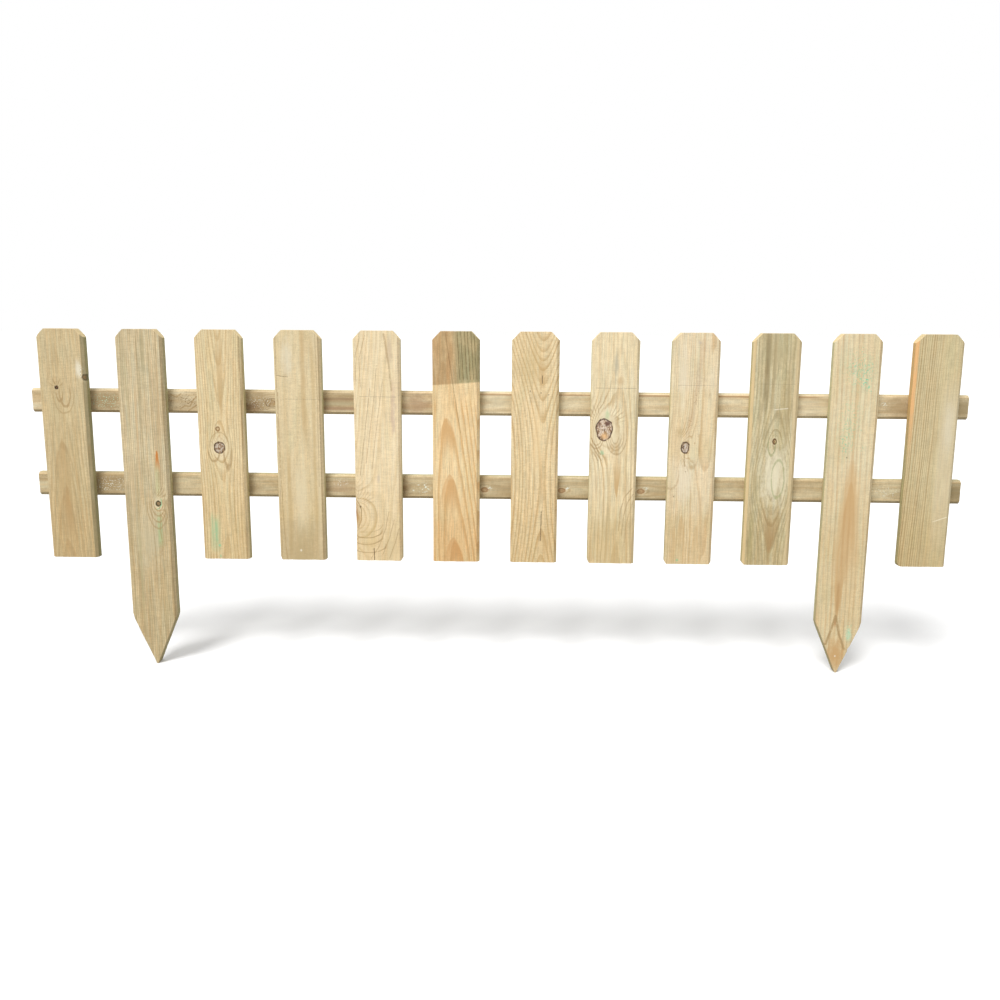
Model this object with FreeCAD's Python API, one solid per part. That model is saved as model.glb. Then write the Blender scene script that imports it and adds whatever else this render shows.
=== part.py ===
# Low picket fence panel: twelve softwood boards nailed across two rails.
# Two of the boards are long stakes with sawn points, which go into the ground.
# Sizes are in millimetres. X runs along the panel, to the right seen from the front.
# Y runs from the front faces of the boards back towards the rails, and Z is up.
# The origin is on the front face of the left stake, on its centre line, at the ground line.
import FreeCAD, Part
import os

# The row of boards
BOARD_COUNT = 12
LEFT_STAKE_PLACE = 2
RIGHT_STAKE_PLACE = 11
BOARD_WIDTH = 55.5
BOARD_THICKNESS = 14.0
BOARD_GAP = 36.5
BOARD_EDGE_CHAMFER = 3.0
DOG_EAR = 10.0

# Heights from the ground line, where the short boards end
BOARD_TOP = 272.0
STAKE_DEPTH = 133.0
STAKE_POINT_LENGTH = 63.0
STAKE_TIP_WIDTH = 2.0

# The two rails behind the boards
RAIL_HEIGHT = 28.5
RAIL_DEPTH = 14.0
RAIL_EDGE_CHAMFER = 3.0
RAIL_OVERHANG = 16.25
UPPER_RAIL_DROP = 70.0
LOWER_RAIL_DROP = 170.0

# The nails, driven from the back through a rail into a board
NAIL_SHANK_DIAMETER = 2.0
NAIL_HEAD_DIAMETER = 4.6
NAIL_HEAD_THICKNESS = 0.9
NAIL_POINT_LENGTH = 3.0
NAIL_COVER = 3.5
NAIL_FROM_BOARD_EDGE = 15.0
NAIL_FROM_RAIL_EDGE = 9.0
NAIL_CLEARANCE = 0.05

# Places worked out from the sizes above
BOARD_PITCH = BOARD_WIDTH + BOARD_GAP
RAIL_BACK = BOARD_THICKNESS + RAIL_DEPTH
UPPER_RAIL_TOP = BOARD_TOP - UPPER_RAIL_DROP
LOWER_RAIL_TOP = BOARD_TOP - LOWER_RAIL_DROP


def board_centre(place):
    """The x of the centre line of the board at a place, counted from 1 at the left end."""
    return (place - LEFT_STAKE_PLACE) * BOARD_PITCH


def prism(points, along):
    """A straight solid: a closed outline swept along one vector."""
    outline = Part.makePolygon(points + points[:1])
    return Part.Face(outline).extrude(along)


def eased_rectangle(low, high, chamfer):
    """The eight corners of a rectangle whose corners are cut off at 45 degrees."""
    (u0, v0), (u1, v1) = low, high
    return [
        (u0 + chamfer, v0), (u1 - chamfer, v0),
        (u1, v0 + chamfer), (u1, v1 - chamfer),
        (u1 - chamfer, v1), (u0 + chamfer, v1),
        (u0, v1 - chamfer), (u0, v0 + chamfer),
    ]


def eased_board(x_centre, z_bottom):
    """A board with its four long edges chamfered, square at both ends."""
    half = BOARD_WIDTH / 2
    section = eased_rectangle(
        (x_centre - half, 0.0), (x_centre + half, BOARD_THICKNESS), BOARD_EDGE_CHAMFER)
    points = [FreeCAD.Vector(x, y, z_bottom) for x, y in section]
    return prism(points, FreeCAD.Vector(0, 0, BOARD_TOP - z_bottom))


def trim_to_outline(board, outline):
    """Keeps what lies inside a front outline of (x, z) points."""
    points = [FreeCAD.Vector(x, 0, z) for x, z in outline]
    return board.common(prism(points, FreeCAD.Vector(0, BOARD_THICKNESS, 0)))


def dog_eared_top(x_centre):
    """The outline over the top of a board, from its left side to its right side."""
    half = BOARD_WIDTH / 2
    return [
        (x_centre - half, BOARD_TOP - DOG_EAR),
        (x_centre - half + DOG_EAR, BOARD_TOP),
        (x_centre + half - DOG_EAR, BOARD_TOP),
        (x_centre + half, BOARD_TOP - DOG_EAR),
    ]


def short_picket(x_centre):
    """A board that ends square at the ground line."""
    half = BOARD_WIDTH / 2
    foot = [(x_centre + half, 0.0), (x_centre - half, 0.0)]
    return trim_to_outline(eased_board(x_centre, 0.0), dog_eared_top(x_centre) + foot)


def stake(x_centre):
    """A long board that is sawn to a point below the ground line."""
    half = BOARD_WIDTH / 2
    half_tip = STAKE_TIP_WIDTH / 2
    shoulder = STAKE_POINT_LENGTH - STAKE_DEPTH
    point = [
        (x_centre + half, shoulder), (x_centre + half_tip, -STAKE_DEPTH),
        (x_centre - half_tip, -STAKE_DEPTH), (x_centre - half, shoulder),
    ]
    return trim_to_outline(eased_board(x_centre, -STAKE_DEPTH), dog_eared_top(x_centre) + point)


def rail(z_top):
    """A rail flat against the backs of the boards, a little longer than the row of boards."""
    reach = BOARD_WIDTH / 2 + RAIL_OVERHANG
    x_left = board_centre(1) - reach
    x_right = board_centre(BOARD_COUNT) + reach
    section = eased_rectangle(
        (BOARD_THICKNESS, z_top - RAIL_HEIGHT), (RAIL_BACK, z_top), RAIL_EDGE_CHAMFER)
    points = [FreeCAD.Vector(x_left, y, z) for y, z in section]
    return prism(points, FreeCAD.Vector(x_right - x_left, 0, 0))


def nail(x, z, ease):
    """A flat-headed nail, its head flush with the rail's back; ease widens it into its hole."""
    forwards = FreeCAD.Vector(0, -1, 0)
    head_radius = NAIL_HEAD_DIAMETER / 2 + ease
    shank_radius = NAIL_SHANK_DIAMETER / 2 + ease
    seat = RAIL_BACK - NAIL_HEAD_THICKNESS
    point_start = NAIL_COVER + NAIL_POINT_LENGTH
    head = Part.makeCylinder(head_radius, NAIL_HEAD_THICKNESS, FreeCAD.Vector(x, RAIL_BACK, z), forwards)
    shank = Part.makeCylinder(shank_radius, seat - point_start, FreeCAD.Vector(x, seat, z), forwards)
    point = Part.makeCone(
        shank_radius, 0, NAIL_POINT_LENGTH + ease, FreeCAD.Vector(x, point_start, z), forwards)
    return head.fuse(shank).fuse(point).removeSplitter()


def nail_spots(place):
    """Two nails on a diagonal at each rail, leaning the other way on every second board."""
    x_centre = board_centre(place)
    reach = BOARD_WIDTH / 2 - NAIL_FROM_BOARD_EDGE
    lean = 1 if place % 2 else -1
    spots = []
    for z_top in (UPPER_RAIL_TOP, LOWER_RAIL_TOP):
        spots.append((x_centre - lean * reach, z_top - NAIL_FROM_RAIL_EDGE))
        spots.append((x_centre + lean * reach, z_top - RAIL_HEIGHT + NAIL_FROM_RAIL_EDGE))
    return spots


def board_name(place):
    """The name of the board at a place."""
    stakes = {LEFT_STAKE_PLACE: "stake_left", RIGHT_STAKE_PLACE: "stake_right"}
    return stakes.get(place, f"picket_{place:02d}")


def build_pieces():
    """Every piece of the panel by name, in place."""
    pieces = {
        "upper_rail": rail(UPPER_RAIL_TOP),
        "lower_rail": rail(LOWER_RAIL_TOP),
    }
    all_holes = []
    for place in range(1, BOARD_COUNT + 1):
        make_board = stake if place in (LEFT_STAKE_PLACE, RIGHT_STAKE_PLACE) else short_picket
        spots = nail_spots(place)
        holes = [nail(x, z, NAIL_CLEARANCE) for x, z in spots]
        name = board_name(place)
        pieces[name] = make_board(board_centre(place)).cut(holes)
        pieces[f"nails_{name}"] = Part.makeCompound([nail(x, z, 0.0) for x, z in spots])
        all_holes += holes
    for name in ("upper_rail", "lower_rail"):
        pieces[name] = pieces[name].cut(all_holes)
    return pieces


os.makedirs("parts", exist_ok=True)
for name, shape in build_pieces().items():
    shape.exportStep(f"parts/{name}.step")
    print(name, len(shape.Solids), "solids, valid", shape.isValid(), round(shape.Volume), "mm3")
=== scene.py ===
"""A low picket fence panel of treated softwood, dressed over its measured frame.

The frame is in metres: X along the panel, Y from the front faces back towards the rails, Z up.
Each timber also has its own directions, in millimetres: across its face, into its depth, and
along its length. Grain, knots, stains and the like are placed in those.
"""

import logging
import math
from dataclasses import dataclass
from enum import Enum
from functools import reduce
from operator import add

import bpy
import numpy as np
from mathutils import Matrix, Vector, noise


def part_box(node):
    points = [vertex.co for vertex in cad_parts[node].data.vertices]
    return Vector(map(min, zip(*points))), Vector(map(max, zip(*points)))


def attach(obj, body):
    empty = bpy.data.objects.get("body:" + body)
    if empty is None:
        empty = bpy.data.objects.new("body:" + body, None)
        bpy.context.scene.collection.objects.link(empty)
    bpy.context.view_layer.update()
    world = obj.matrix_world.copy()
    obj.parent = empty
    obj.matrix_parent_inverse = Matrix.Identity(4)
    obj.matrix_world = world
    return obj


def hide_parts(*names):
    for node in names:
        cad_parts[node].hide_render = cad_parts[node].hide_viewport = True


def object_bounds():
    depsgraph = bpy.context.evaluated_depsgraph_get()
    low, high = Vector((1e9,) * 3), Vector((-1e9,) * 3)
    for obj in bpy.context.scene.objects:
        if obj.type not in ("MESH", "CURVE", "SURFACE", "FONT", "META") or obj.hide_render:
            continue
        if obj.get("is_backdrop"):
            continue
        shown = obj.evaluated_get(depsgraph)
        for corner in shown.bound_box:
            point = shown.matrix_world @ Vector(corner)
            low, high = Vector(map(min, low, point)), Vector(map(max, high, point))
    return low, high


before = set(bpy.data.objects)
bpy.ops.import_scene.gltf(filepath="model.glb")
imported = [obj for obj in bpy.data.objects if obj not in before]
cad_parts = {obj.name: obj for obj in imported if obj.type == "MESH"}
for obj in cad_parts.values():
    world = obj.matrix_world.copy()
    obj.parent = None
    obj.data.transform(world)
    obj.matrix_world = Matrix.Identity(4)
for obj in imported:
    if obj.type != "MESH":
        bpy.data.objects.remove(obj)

log = logging.getLogger("fence")

Socket = bpy.types.NodeSocket
Colour = tuple[float, float, float, float]
Span = tuple[float, float, float, float]
Point = tuple[float, float]

MM = 0.001


def tint(red: int, green: int, blue: int) -> Colour:
    """A colour as it looks on a screen, turned into the linear values that shaders take.

    Args:
        red, green, blue: from 0 to 255.

    Returns:
        The linear colour, opaque.
    """
    def linear(part: int) -> float:
        """One part of the colour."""
        share = part / 255
        return share / 12.92 if share <= 0.04045 else ((share + 0.055) / 1.055) ** 2.4

    return linear(red), linear(green), linear(blue), 1.0


WHITE = tint(255, 255, 255)
COOL_CAST = tint(250, 254, 255)
WARM_CAST = tint(255, 250, 243)
# Darker and warmer towards a board's foot: partly the wood's tone, partly painted shade of the light from
# above.
FOOT_TONE_AND_SHADE = tint(245, 240, 231)
SIDE_CAST = tint(238, 247, 236)
HALO = tint(238, 220, 182)
# Painted shade for the hairline along each arris of a front.
EDGE_SHADE = tint(150, 122, 82)
SAWN_END = tint(240, 214, 166)
PENCIL = tint(120, 104, 84)
CRACK = tint(96, 74, 52)
VEIN = tint(172, 142, 98)
MINT = tint(136, 206, 168)
SPECK_BROWN = tint(120, 92, 62)
RAIL_BROWN = tint(160, 134, 94)
WHITE_SPECK = tint(238, 240, 224)
BARE_PALE = tint(244, 236, 214)

# A range across that is wider than any board, and the start of one that begins below a board's foot.
WHOLE = (-50.0, -49.0, 49.0, 50.0)
LOWEST = (-99.0, -98.0)


def blurred(begin: float, end: float, soft_begin: float, soft_end: float) -> Span:
    """A range that fades in and out over these distances on both sides of its limits."""
    return begin - soft_begin, begin + soft_begin, end - soft_end, end + soft_end


class Direction(Enum):
    """Which way a timber runs."""

    UPRIGHT = "upright"
    LYING = "lying"


class Layer(Enum):
    """The noises of a timber: feature size across and along in millimetres, seed, detail, roughness."""

    RIPPLE = (8.0, 40.0, 4.0, 2.0, 0.5)
    SWAY = (5.0, 14.0, 5.0, 3.0, 0.5)
    GRIT = (1.6, 3.0, 8.0, 2.0, 0.5)
    DRIFT = (42.0, 190.0, 0.0, 1.0, 0.5)
    FIBRE = (0.8, 26.0, 21.0, 2.0, 0.6)
    SAW = (8.0, 1.15, 27.0, 1.0, 0.5)
    SPECK = (0.8, 1.0, 29.0, 1.0, 0.7)
    STREAK = (5.0, 170.0, 31.0, 2.0, 0.6)
    CLOUD = (4.5, 10.0, 33.0, 2.0, 0.6)
    PATCH = (20.0, 60.0, 37.0, 2.0, 0.65)
    HUE = (2.6, 42.0, 43.0, 2.0, 0.6)
    WAVE = (11.0, 60.0, 51.0, 2.0, 0.5)
    ROUGH = (2.6, 9.0, 53.0, 2.0, 0.5)


class Wire:
    """One output of a node. Sums on it are written as Python's own and become nodes."""

    def __init__(self, sketch: "Sketch", socket: Socket) -> None:
        """Remembers the output and the sketch it belongs to."""
        self.sketch = sketch
        self.socket = socket

    def __add__(self, other: "Number") -> "Wire":
        """The sum."""
        return self.sketch.math("ADD", self, other)

    def __sub__(self, other: "Number") -> "Wire":
        """The difference."""
        return self.sketch.math("SUBTRACT", self, other)

    def __mul__(self, other: "Number") -> "Wire":
        """The product."""
        return self.sketch.math("MULTIPLY", self, other)

    def __truediv__(self, other: "Number") -> "Wire":
        """The quotient."""
        return self.sketch.math("DIVIDE", self, other)

    def __abs__(self) -> "Wire":
        """The size without the sign."""
        return self.sketch.math("ABSOLUTE", self)

    def scaled(self, factor: "Number", term: "Number") -> "Wire":
        """The product with a factor, and a term added to it."""
        return self.sketch.math("MULTIPLY_ADD", self, factor, term)

    def fade(self, start: float, end: float, low: float = 0.0, high: float = 1.0) -> "Wire":
        """A soft step: low at start, high at end, whichever of those is the larger.

        Args:
            start: where the step begins.
            end: where it ends.
            low: the result at start.
            high: the result at end.

        Returns:
            The stepped number.
        """
        if start > end:
            start, end, low, high = end, start, high, low
        inputs = {"Value": self, "From Min": start, "From Max": end, "To Min": low, "To Max": high}
        return self.sketch.take("ShaderNodeMapRange", inputs, interpolation_type="SMOOTHSTEP")


Number = float | Wire


class Sketch:
    """Writes nodes into a shader tree or a geometry tree from short calls."""

    def __init__(self, tree: bpy.types.NodeTree) -> None:
        """Starts on a tree, which may already hold nodes."""
        self.tree = tree

    @classmethod
    def of(cls, owner: bpy.types.Material | bpy.types.World) -> "Sketch":
        """Starts on the emptied nodes of a material or a world.

        Args:
            owner: whose nodes are written.

        Returns:
            The sketch.
        """
        owner.use_nodes = True
        owner.node_tree.nodes.clear()
        return cls(owner.node_tree)

    def add(self, kind: str, inputs: dict[str | int, object] | None = None,
            **settings: object) -> bpy.types.Node:
        """One new node.

        Args:
            kind: the node's type.
            inputs: what goes into its inputs, by name or place.
            settings: properties of the node.

        Returns:
            The node.
        """
        node = self.tree.nodes.new(kind)
        for name, value in settings.items():
            setattr(node, name, value)
        for name, value in (inputs or {}).items():
            source = value.socket if isinstance(value, Wire) else value
            if isinstance(source, Socket):
                self.tree.links.new(source, node.inputs[name])
            else:
                node.inputs[name].default_value = source
        return node

    def take(self, kind: str, inputs: dict[str | int, object] | None = None, output: str | int = 0,
             **settings: object) -> Wire:
        """One output of a new node.

        Args:
            kind: the node's type.
            inputs: what goes into its inputs, by name or place.
            output: the output's name or place.
            settings: properties of the node.

        Returns:
            The output.
        """
        return Wire(self, self.add(kind, inputs, **settings).outputs[output])

    def math(self, operation: str, *values: Number) -> Wire:
        """One sum on numbers, named as the node names it."""
        return self.take("ShaderNodeMath", dict(enumerate(values)), operation=operation)

    def vector(self, operation: str, *values: object) -> Wire:
        """One sum on vectors; lengths come out as a number."""
        output = 1 if operation in ("LENGTH", "DISTANCE", "DOT_PRODUCT") else 0
        return self.take("ShaderNodeVectorMath", dict(enumerate(values)), output, operation=operation)

    def combine(self, x: Number, y: Number, z: Number = 0.0) -> Wire:
        """A vector from three numbers."""
        return self.take("ShaderNodeCombineXYZ", {0: x, 1: y, 2: z})

    def split(self, vector: Wire) -> tuple[Wire, Wire, Wire]:
        """The three numbers of a vector."""
        node = self.add("ShaderNodeSeparateXYZ", {0: vector})
        return Wire(self, node.outputs[0]), Wire(self, node.outputs[1]), Wire(self, node.outputs[2])

    def noise(self, vector: Wire, detail: float = 2.0, roughness: float = 0.5) -> tuple[Wire, Wire]:
        """Soft noise with features about one unit across.

        Args:
            vector: where it is read.
            detail: how many finer layers it has.
            roughness: how strong those layers are.

        Returns:
            The noise as a number and as a vector, both about 0.5.
        """
        inputs = {"Vector": vector, "Scale": 1.0, "Detail": detail, "Roughness": roughness}
        node = self.add("ShaderNodeTexNoise", inputs, noise_dimensions="3D")
        return Wire(self, node.outputs[0]), Wire(self, node.outputs[1])

    def blend(self, share: Number, under: object, over: object, kind: str = "MIX") -> Wire:
        """One colour laid over another.

        Args:
            share: how much of the second shows.
            under: the first colour.
            over: the second colour.
            kind: how they combine.

        Returns:
            The colour.
        """
        inputs = {0: share, 6: under, 7: over}
        return self.take("ShaderNodeMix", inputs, 2, data_type="RGBA", blend_type=kind, clamp_factor=True)

    def surface(self, shader: Wire, kind: str = "Material") -> None:
        """Ends the tree of a material or a world."""
        self.add(f"ShaderNodeOutput{kind}", {"Surface": shader})

    def dress(self, geometry: Wire, material: bpy.types.Material) -> None:
        """Ends a geometry tree with the material that its geometry is given."""
        dressed = self.take("GeometryNodeSetMaterial", {"Geometry": geometry, "Material": material})
        self.add("NodeGroupOutput", {"Geometry": dressed})


class Place:
    """Where a point lies on its timber, in millimetres, as wires of one sketch."""

    def __init__(self, sketch: Sketch, across: Wire, depth: Wire, along: Wire, seed: float) -> None:
        """Starts from the three distances and adds what many marks share.

        Args:
            sketch: where nodes are written.
            across: the distance from the timber's centre line, on its front face.
            depth: the distance behind the front face.
            along: the height of a board's point, or the distance along the panel for a rail.
            seed: moves the noises.
        """
        self.sketch = sketch
        self.across = across
        self.depth = depth
        self.along = along
        self.seed = seed
        self.spot = sketch.combine(across, depth, along)
        self.sway = self.layer(Layer.SWAY)[1]
        self.sway_across, self.sway_depth, _ = sketch.split(self.sway)
        self.grit = self.layer(Layer.GRIT)[0]
        self.on_front = depth.fade(5.0, 3.2)

    def layer(self, layer: Layer, along: float | None = None) -> tuple[Wire, Wire]:
        """One of the timber's noises.

        Args:
            layer: which one.
            along: another feature size along the grain than its own.

        Returns:
            The noise as a number and as a vector.
        """
        size, length, step, detail, roughness = layer.value
        spot = self.stretched(size, along or length, self.seed + step)
        return self.sketch.noise(spot, detail, roughness)

    def stretched(self, across: float, along: float, seed: float) -> Wire:
        """The spot scaled so that noise read there has features of the sizes given.

        Args:
            across: the features' size across the grain, in millimetres.
            along: their size along the grain.
            seed: moves the pattern.

        Returns:
            The scaled vector.
        """
        scale = (1 / across, 1 / across, 1 / along)
        return self.sketch.vector("MULTIPLY_ADD", self.spot, scale, (seed, seed * 1.7, seed * 0.6))

    def within(self, value: Wire, span: Span) -> Wire:
        """One inside a range and none outside it.

        Args:
            value: what is followed.
            span: where the range begins, is full, stops being full and ends.

        Returns:
            The share.
        """
        begin, full, ebb, end = span
        return value.fade(begin, full) * value.fade(end, ebb)


class Mark:
    """Something on a timber that turns its rings aside, colours it or sinks its surface."""

    colour: Colour
    as_filter = False

    def push(self, place: Place) -> Wire | None:
        """How far the rings are pushed aside, in millimetres; nothing where they run on."""
        return None

    def part(self, place: Place) -> Wire | None:
        """How far the rings are parted to both sides, in millimetres; nothing where they aren't."""
        return None

    def share(self, place: Place) -> Wire | None:
        """How much of the mark's colour shows; nothing where it has none."""
        return None

    def hollow(self, place: Place) -> Wire | None:
        """How deep the surface lies at the mark, in millimetres; nothing where it stays flat."""
        return None

    def paint(self, place: Place, wood: Wire) -> Wire:
        """Lays the mark over the wood, or multiplies with it as a filter that keeps the rings as strong.

        Args:
            place: the spot.
            wood: the colour so far.

        Returns:
            The colour.
        """
        share = self.share(place)
        if share is None:
            return wood
        return place.sketch.blend(share, wood, self.colour, "MULTIPLY" if self.as_filter else "MIX")


@dataclass(frozen=True)
class Oval(Mark):
    """A mark round a point on the front face, with its own half width and half height."""

    across: float
    along: float
    half_width: float
    half_height: float

    def out(self, place: Place, half_width: float = 0.0, half_height: float = 0.0,
            slant: float = 0.0) -> Wire:
        """How far out of the oval a spot is: 0 at its centre, 1 at its edge.

        Args:
            place: the spot.
            half_width, half_height: another size than the mark's own.
            slant: how far its centre moves across for each millimetre of depth.

        Returns:
            The distance as a share.
        """
        sketch = place.sketch
        aside = place.across - self.across
        if slant:
            aside = place.depth.scaled(-slant, aside)
        size = (1 / (half_width or self.half_width), 1 / (half_height or self.half_height), 0.0)
        offset = sketch.combine(aside, place.along - self.along)
        return sketch.vector("LENGTH", sketch.vector("MULTIPLY", offset, size))


@dataclass(frozen=True)
class Knot(Oval):
    """A branch cut through by the sawing, and the rings that flow round it."""

    swirl: float = 12.0
    reach: float = 1.0
    pale: Colour = tint(198, 178, 150)
    patch: Colour = tint(132, 102, 80)
    warm: Colour = tint(216, 174, 120)
    rim: Colour = tint(92, 70, 48)
    halo: float = 0.4
    parting: float = 0.85
    slant: float = 0.35
    seed: float = 1.0

    def edge(self, place: Place) -> Wire:
        """How far out of the knot a spot is, with an uneven edge.

        Args:
            place: the spot.

        Returns:
            The distance: 0 at the knot's centre and 1 on its rim.
        """
        size = (self.half_width + self.half_height) * 0.4
        even = self.out(place, slant=self.slant)
        rough, _ = place.sketch.noise(place.stretched(size, size, self.seed))
        return rough.scaled(0.6, even - 0.3)

    def push(self, place: Place) -> Wire:
        """How far the rings are pushed aside round the knot.

        Args:
            place: the spot.

        Returns:
            The distance in millimetres.
        """
        tall = max(self.half_height, self.half_width)
        far = self.out(place, 1.3 * self.half_width, 1.9 * tall, self.slant)
        stirred = place.sway_across.fade(0.2, 0.8, 0.9 * self.swirl, 1.1 * self.swirl)
        return place.sketch.math("EXPONENT", far * (-1 / self.reach)) * stirred

    def part(self, place: Place) -> Wire:
        """How far the rings are parted to both sides of the knot.

        Args:
            place: the spot.

        Returns:
            The way from a spot to where its ring would run without the knot, in millimetres.
        """
        tall = max(self.half_height, self.half_width)
        far = self.out(place, 1.7 * self.half_width, 2.2 * tall, self.slant)
        near = place.sketch.math("EXPONENT", far * far * -1.0)
        return (place.across - self.across) * near * -self.parting

    def paint(self, place: Place, wood: Wire) -> Wire:
        """Lays the knot over the wood: a pale halo, mottled heartwood and a thin dark rim.

        Args:
            place: the spot.
            wood: the colour so far.

        Returns:
            The colour.
        """
        sketch, edge = place.sketch, self.edge(place)
        size = (self.half_width + self.half_height) / 2
        fine = max(1.0, size * 0.38)
        blotch, blotches = sketch.noise(place.stretched(fine, fine, self.seed + 3.0), 2.0, 0.6)
        warmth, _, _ = sketch.split(blotches)
        rings = sketch.math("SINE", blotch.scaled(6.0, edge * (size * 2.5)))
        heart = sketch.blend(warmth.fade(0.48, 0.6, 0.0, 0.85), self.pale, self.warm)
        heart = sketch.blend(blotch.fade(0.5, 0.6, 0.0, 0.9), heart, self.patch)
        heart = sketch.blend(rings.fade(0.5, 1.0, 0.0, 0.4), heart, self.rim)
        around = sketch.blend(edge.fade(2.3, 1.1, 0.0, self.halo), wood, HALO)
        knotted = sketch.blend(edge.fade(1.08, 0.95), around, heart)
        rim = abs(edge - 1.0).fade(1.25 / size, 0.35 / size) * place.grit.fade(0.28, 0.48, 0.4)
        return sketch.blend(rim, knotted, self.rim)

    def hollow(self, place: Place) -> Wire:
        """How deep the surface lies: a little inside the knot, more on its rim.

        Args:
            place: the spot.

        Returns:
            The depth in millimetres.
        """
        edge = self.edge(place)
        return edge.fade(1.05, 0.8).scaled(place.grit * 0.4, abs(edge - 1.0).fade(0.3, 0.0, 0.0, 0.3))


@dataclass(frozen=True)
class Swell(Oval):
    """Rings that bulge round a branch that lies just under the surface."""

    swirl: float

    def push(self, place: Place) -> Wire:
        """How far the rings are pushed aside over the swelling."""
        far = self.out(place)
        return place.sketch.math("EXPONENT", far * far * -1.0) * self.swirl


@dataclass(frozen=True)
class Stain(Oval):
    """A patch of other colour with a ragged or speckled edge."""

    colour: Colour
    strength: float
    ragged: float = 0.8
    speckle: float = 0.0
    front_only: bool = True

    def share(self, place: Place) -> Wire:
        """How much of the patch shows.

        Args:
            place: the spot.

        Returns:
            The share.
        """
        even = self.out(place)
        rough = place.grit.scaled(0.4, place.sway_depth * 0.6)
        share = rough.scaled(self.ragged * 2, even - self.ragged).fade(1.0, 0.15, 0.0, self.strength)
        if self.speckle:
            dots, _ = place.sketch.noise(place.stretched(self.speckle, self.speckle * 1.3, self.along), 1.0)
            share = share * dots.fade(0.59, 0.66)
        return share * place.on_front if self.front_only else share


@dataclass(frozen=True)
class Band(Mark):
    """A part of a timber with straight edges and another colour.

    Each of its two ranges says where it begins, is full, stops being full and ends.
    """

    across: Span
    along: Span
    colour: Colour
    strength: float
    tilt: float = 0.0
    as_filter: bool = False

    def share(self, place: Place) -> Wire:
        """How much of the band shows.

        Args:
            place: the spot.

        Returns:
            The share.
        """
        along = place.across.scaled(-self.tilt, place.along)
        share = place.within(place.across, self.across) * place.within(along, self.along)
        return share * place.sway_depth.fade(0.25, 0.6, 0.7 * self.strength, self.strength)


@dataclass(frozen=True)
class Stroke(Mark):
    """A thin mark along a row of points: a crack, a resin streak, a pencil line or a scratch."""

    points: tuple[Point, ...]
    half_width: float
    colour: Colour
    strength: float
    wander: float = 0.8
    depth: float = 0.0

    def segment(self, sketch: Sketch, offset: Wire, run: Point) -> Wire:
        """How far a spot is from one straight part.

        Args:
            sketch: where nodes are written.
            offset: the way from the part's start to the spot.
            run: the way from the part's start to its end.

        Returns:
            The distance in millimetres.
        """
        share = sketch.vector("DOT_PRODUCT", offset, (*run, 0.0)) / (run[0] ** 2 + run[1] ** 2)
        held = sketch.math("MINIMUM", sketch.math("MAXIMUM", share, 0.0), 1.0)
        return sketch.vector("DISTANCE", offset, sketch.combine(held * run[0], held * run[1]))

    def near(self, place: Place, half_width: float) -> Wire:
        """One on the stroke and none beside it.

        Args:
            place: the spot.
            half_width: how far from its middle the stroke reaches.

        Returns:
            The share.
        """
        sketch, wander = place.sketch, self.wander
        flat = sketch.combine(place.across, place.along)
        moved = sketch.vector("MULTIPLY_ADD", place.sway, (wander * 2, wander * 2, 0.0), flat)
        parts = []
        for start, end in zip(self.points, self.points[1:]):
            offset = sketch.vector("SUBTRACT", moved, (start[0] + wander, start[1] + wander, 0.0))
            offset = sketch.vector("MULTIPLY", offset, (1.0, 1.0, 0.0))
            parts.append(self.segment(sketch, offset, (end[0] - start[0], end[1] - start[1])))
        away = reduce(lambda first, second: sketch.math("MINIMUM", first, second), parts)
        line = away.fade(half_width * 1.1, half_width * 0.3)
        return line * place.grit.fade(0.3, 0.5, 0.4) * place.on_front

    def share(self, place: Place) -> Wire:
        """How much of the stroke shows."""
        return self.near(place, self.half_width) * self.strength

    def hollow(self, place: Place) -> Wire | None:
        """How deep the stroke is cut, in millimetres; nothing for one that is only drawn."""
        return self.near(place, max(self.half_width, 0.9)) * self.depth if self.depth else None


@dataclass(frozen=True)
class Loop(Oval):
    """A single ring that shows as an oval line, from one height to another, in half heights."""

    strength: float = 0.6
    low: float = -1.3
    high: float = 0.1
    colour: Colour = VEIN
    thick: float = 0.7

    def share(self, place: Place) -> Wire:
        """How much of the line shows; it is thicker at both ends of the oval, as in a flat cut ring.

        Args:
            place: the spot.

        Returns:
            The share.
        """
        even = self.out(place)
        moved = place.sway_across.scaled(1.6 / self.half_width, even)
        away = abs(moved - (1.0 + 0.8 / self.half_width))
        height = place.along.scaled(1 / self.half_height, -self.along / self.half_height)
        shown = place.within(height, blurred(self.low, self.high, 0.2, 0.3))
        thick = self.thick / self.half_width
        line = away.fade(1.2 * thick, 0.3 * thick) * self.strength * place.grit.fade(0.3, 0.5, 0.5)
        return line * shown * place.on_front


@dataclass(frozen=True)
class Fan(Mark):
    """Short fine lines that radiate from a knot on both its sides, where the rings curl round it.

    Angles are in radians, from none straight up to half a turn straight down.
    """

    across: float
    along: float
    inner: float
    outer: float
    start: float
    end: float
    strength: float = 0.6
    count: float = 26.0
    curl: float = 0.25
    colour: Colour = VEIN

    def share(self, place: Place) -> Wire:
        """How much of the lines shows.

        Args:
            place: the spot.

        Returns:
            The share.
        """
        sketch = place.sketch
        aside, up = place.across - self.across, place.along - self.along
        angle = abs(sketch.math("ARCTAN2", aside, up))
        radius = sketch.vector("LENGTH", sketch.combine(aside, up))
        bent = radius.scaled(self.curl, place.sway_across * 5.0)
        wave = sketch.math("SINE", angle.scaled(self.count, bent))
        ringed = place.within(radius, blurred(self.inner, self.outer, 1.5, 3.0))
        facing = place.within(angle, blurred(self.start, self.end, 0.15, 0.3))
        return wave.fade(0.2, 0.95) * self.strength * ringed * facing * place.on_front


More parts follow.
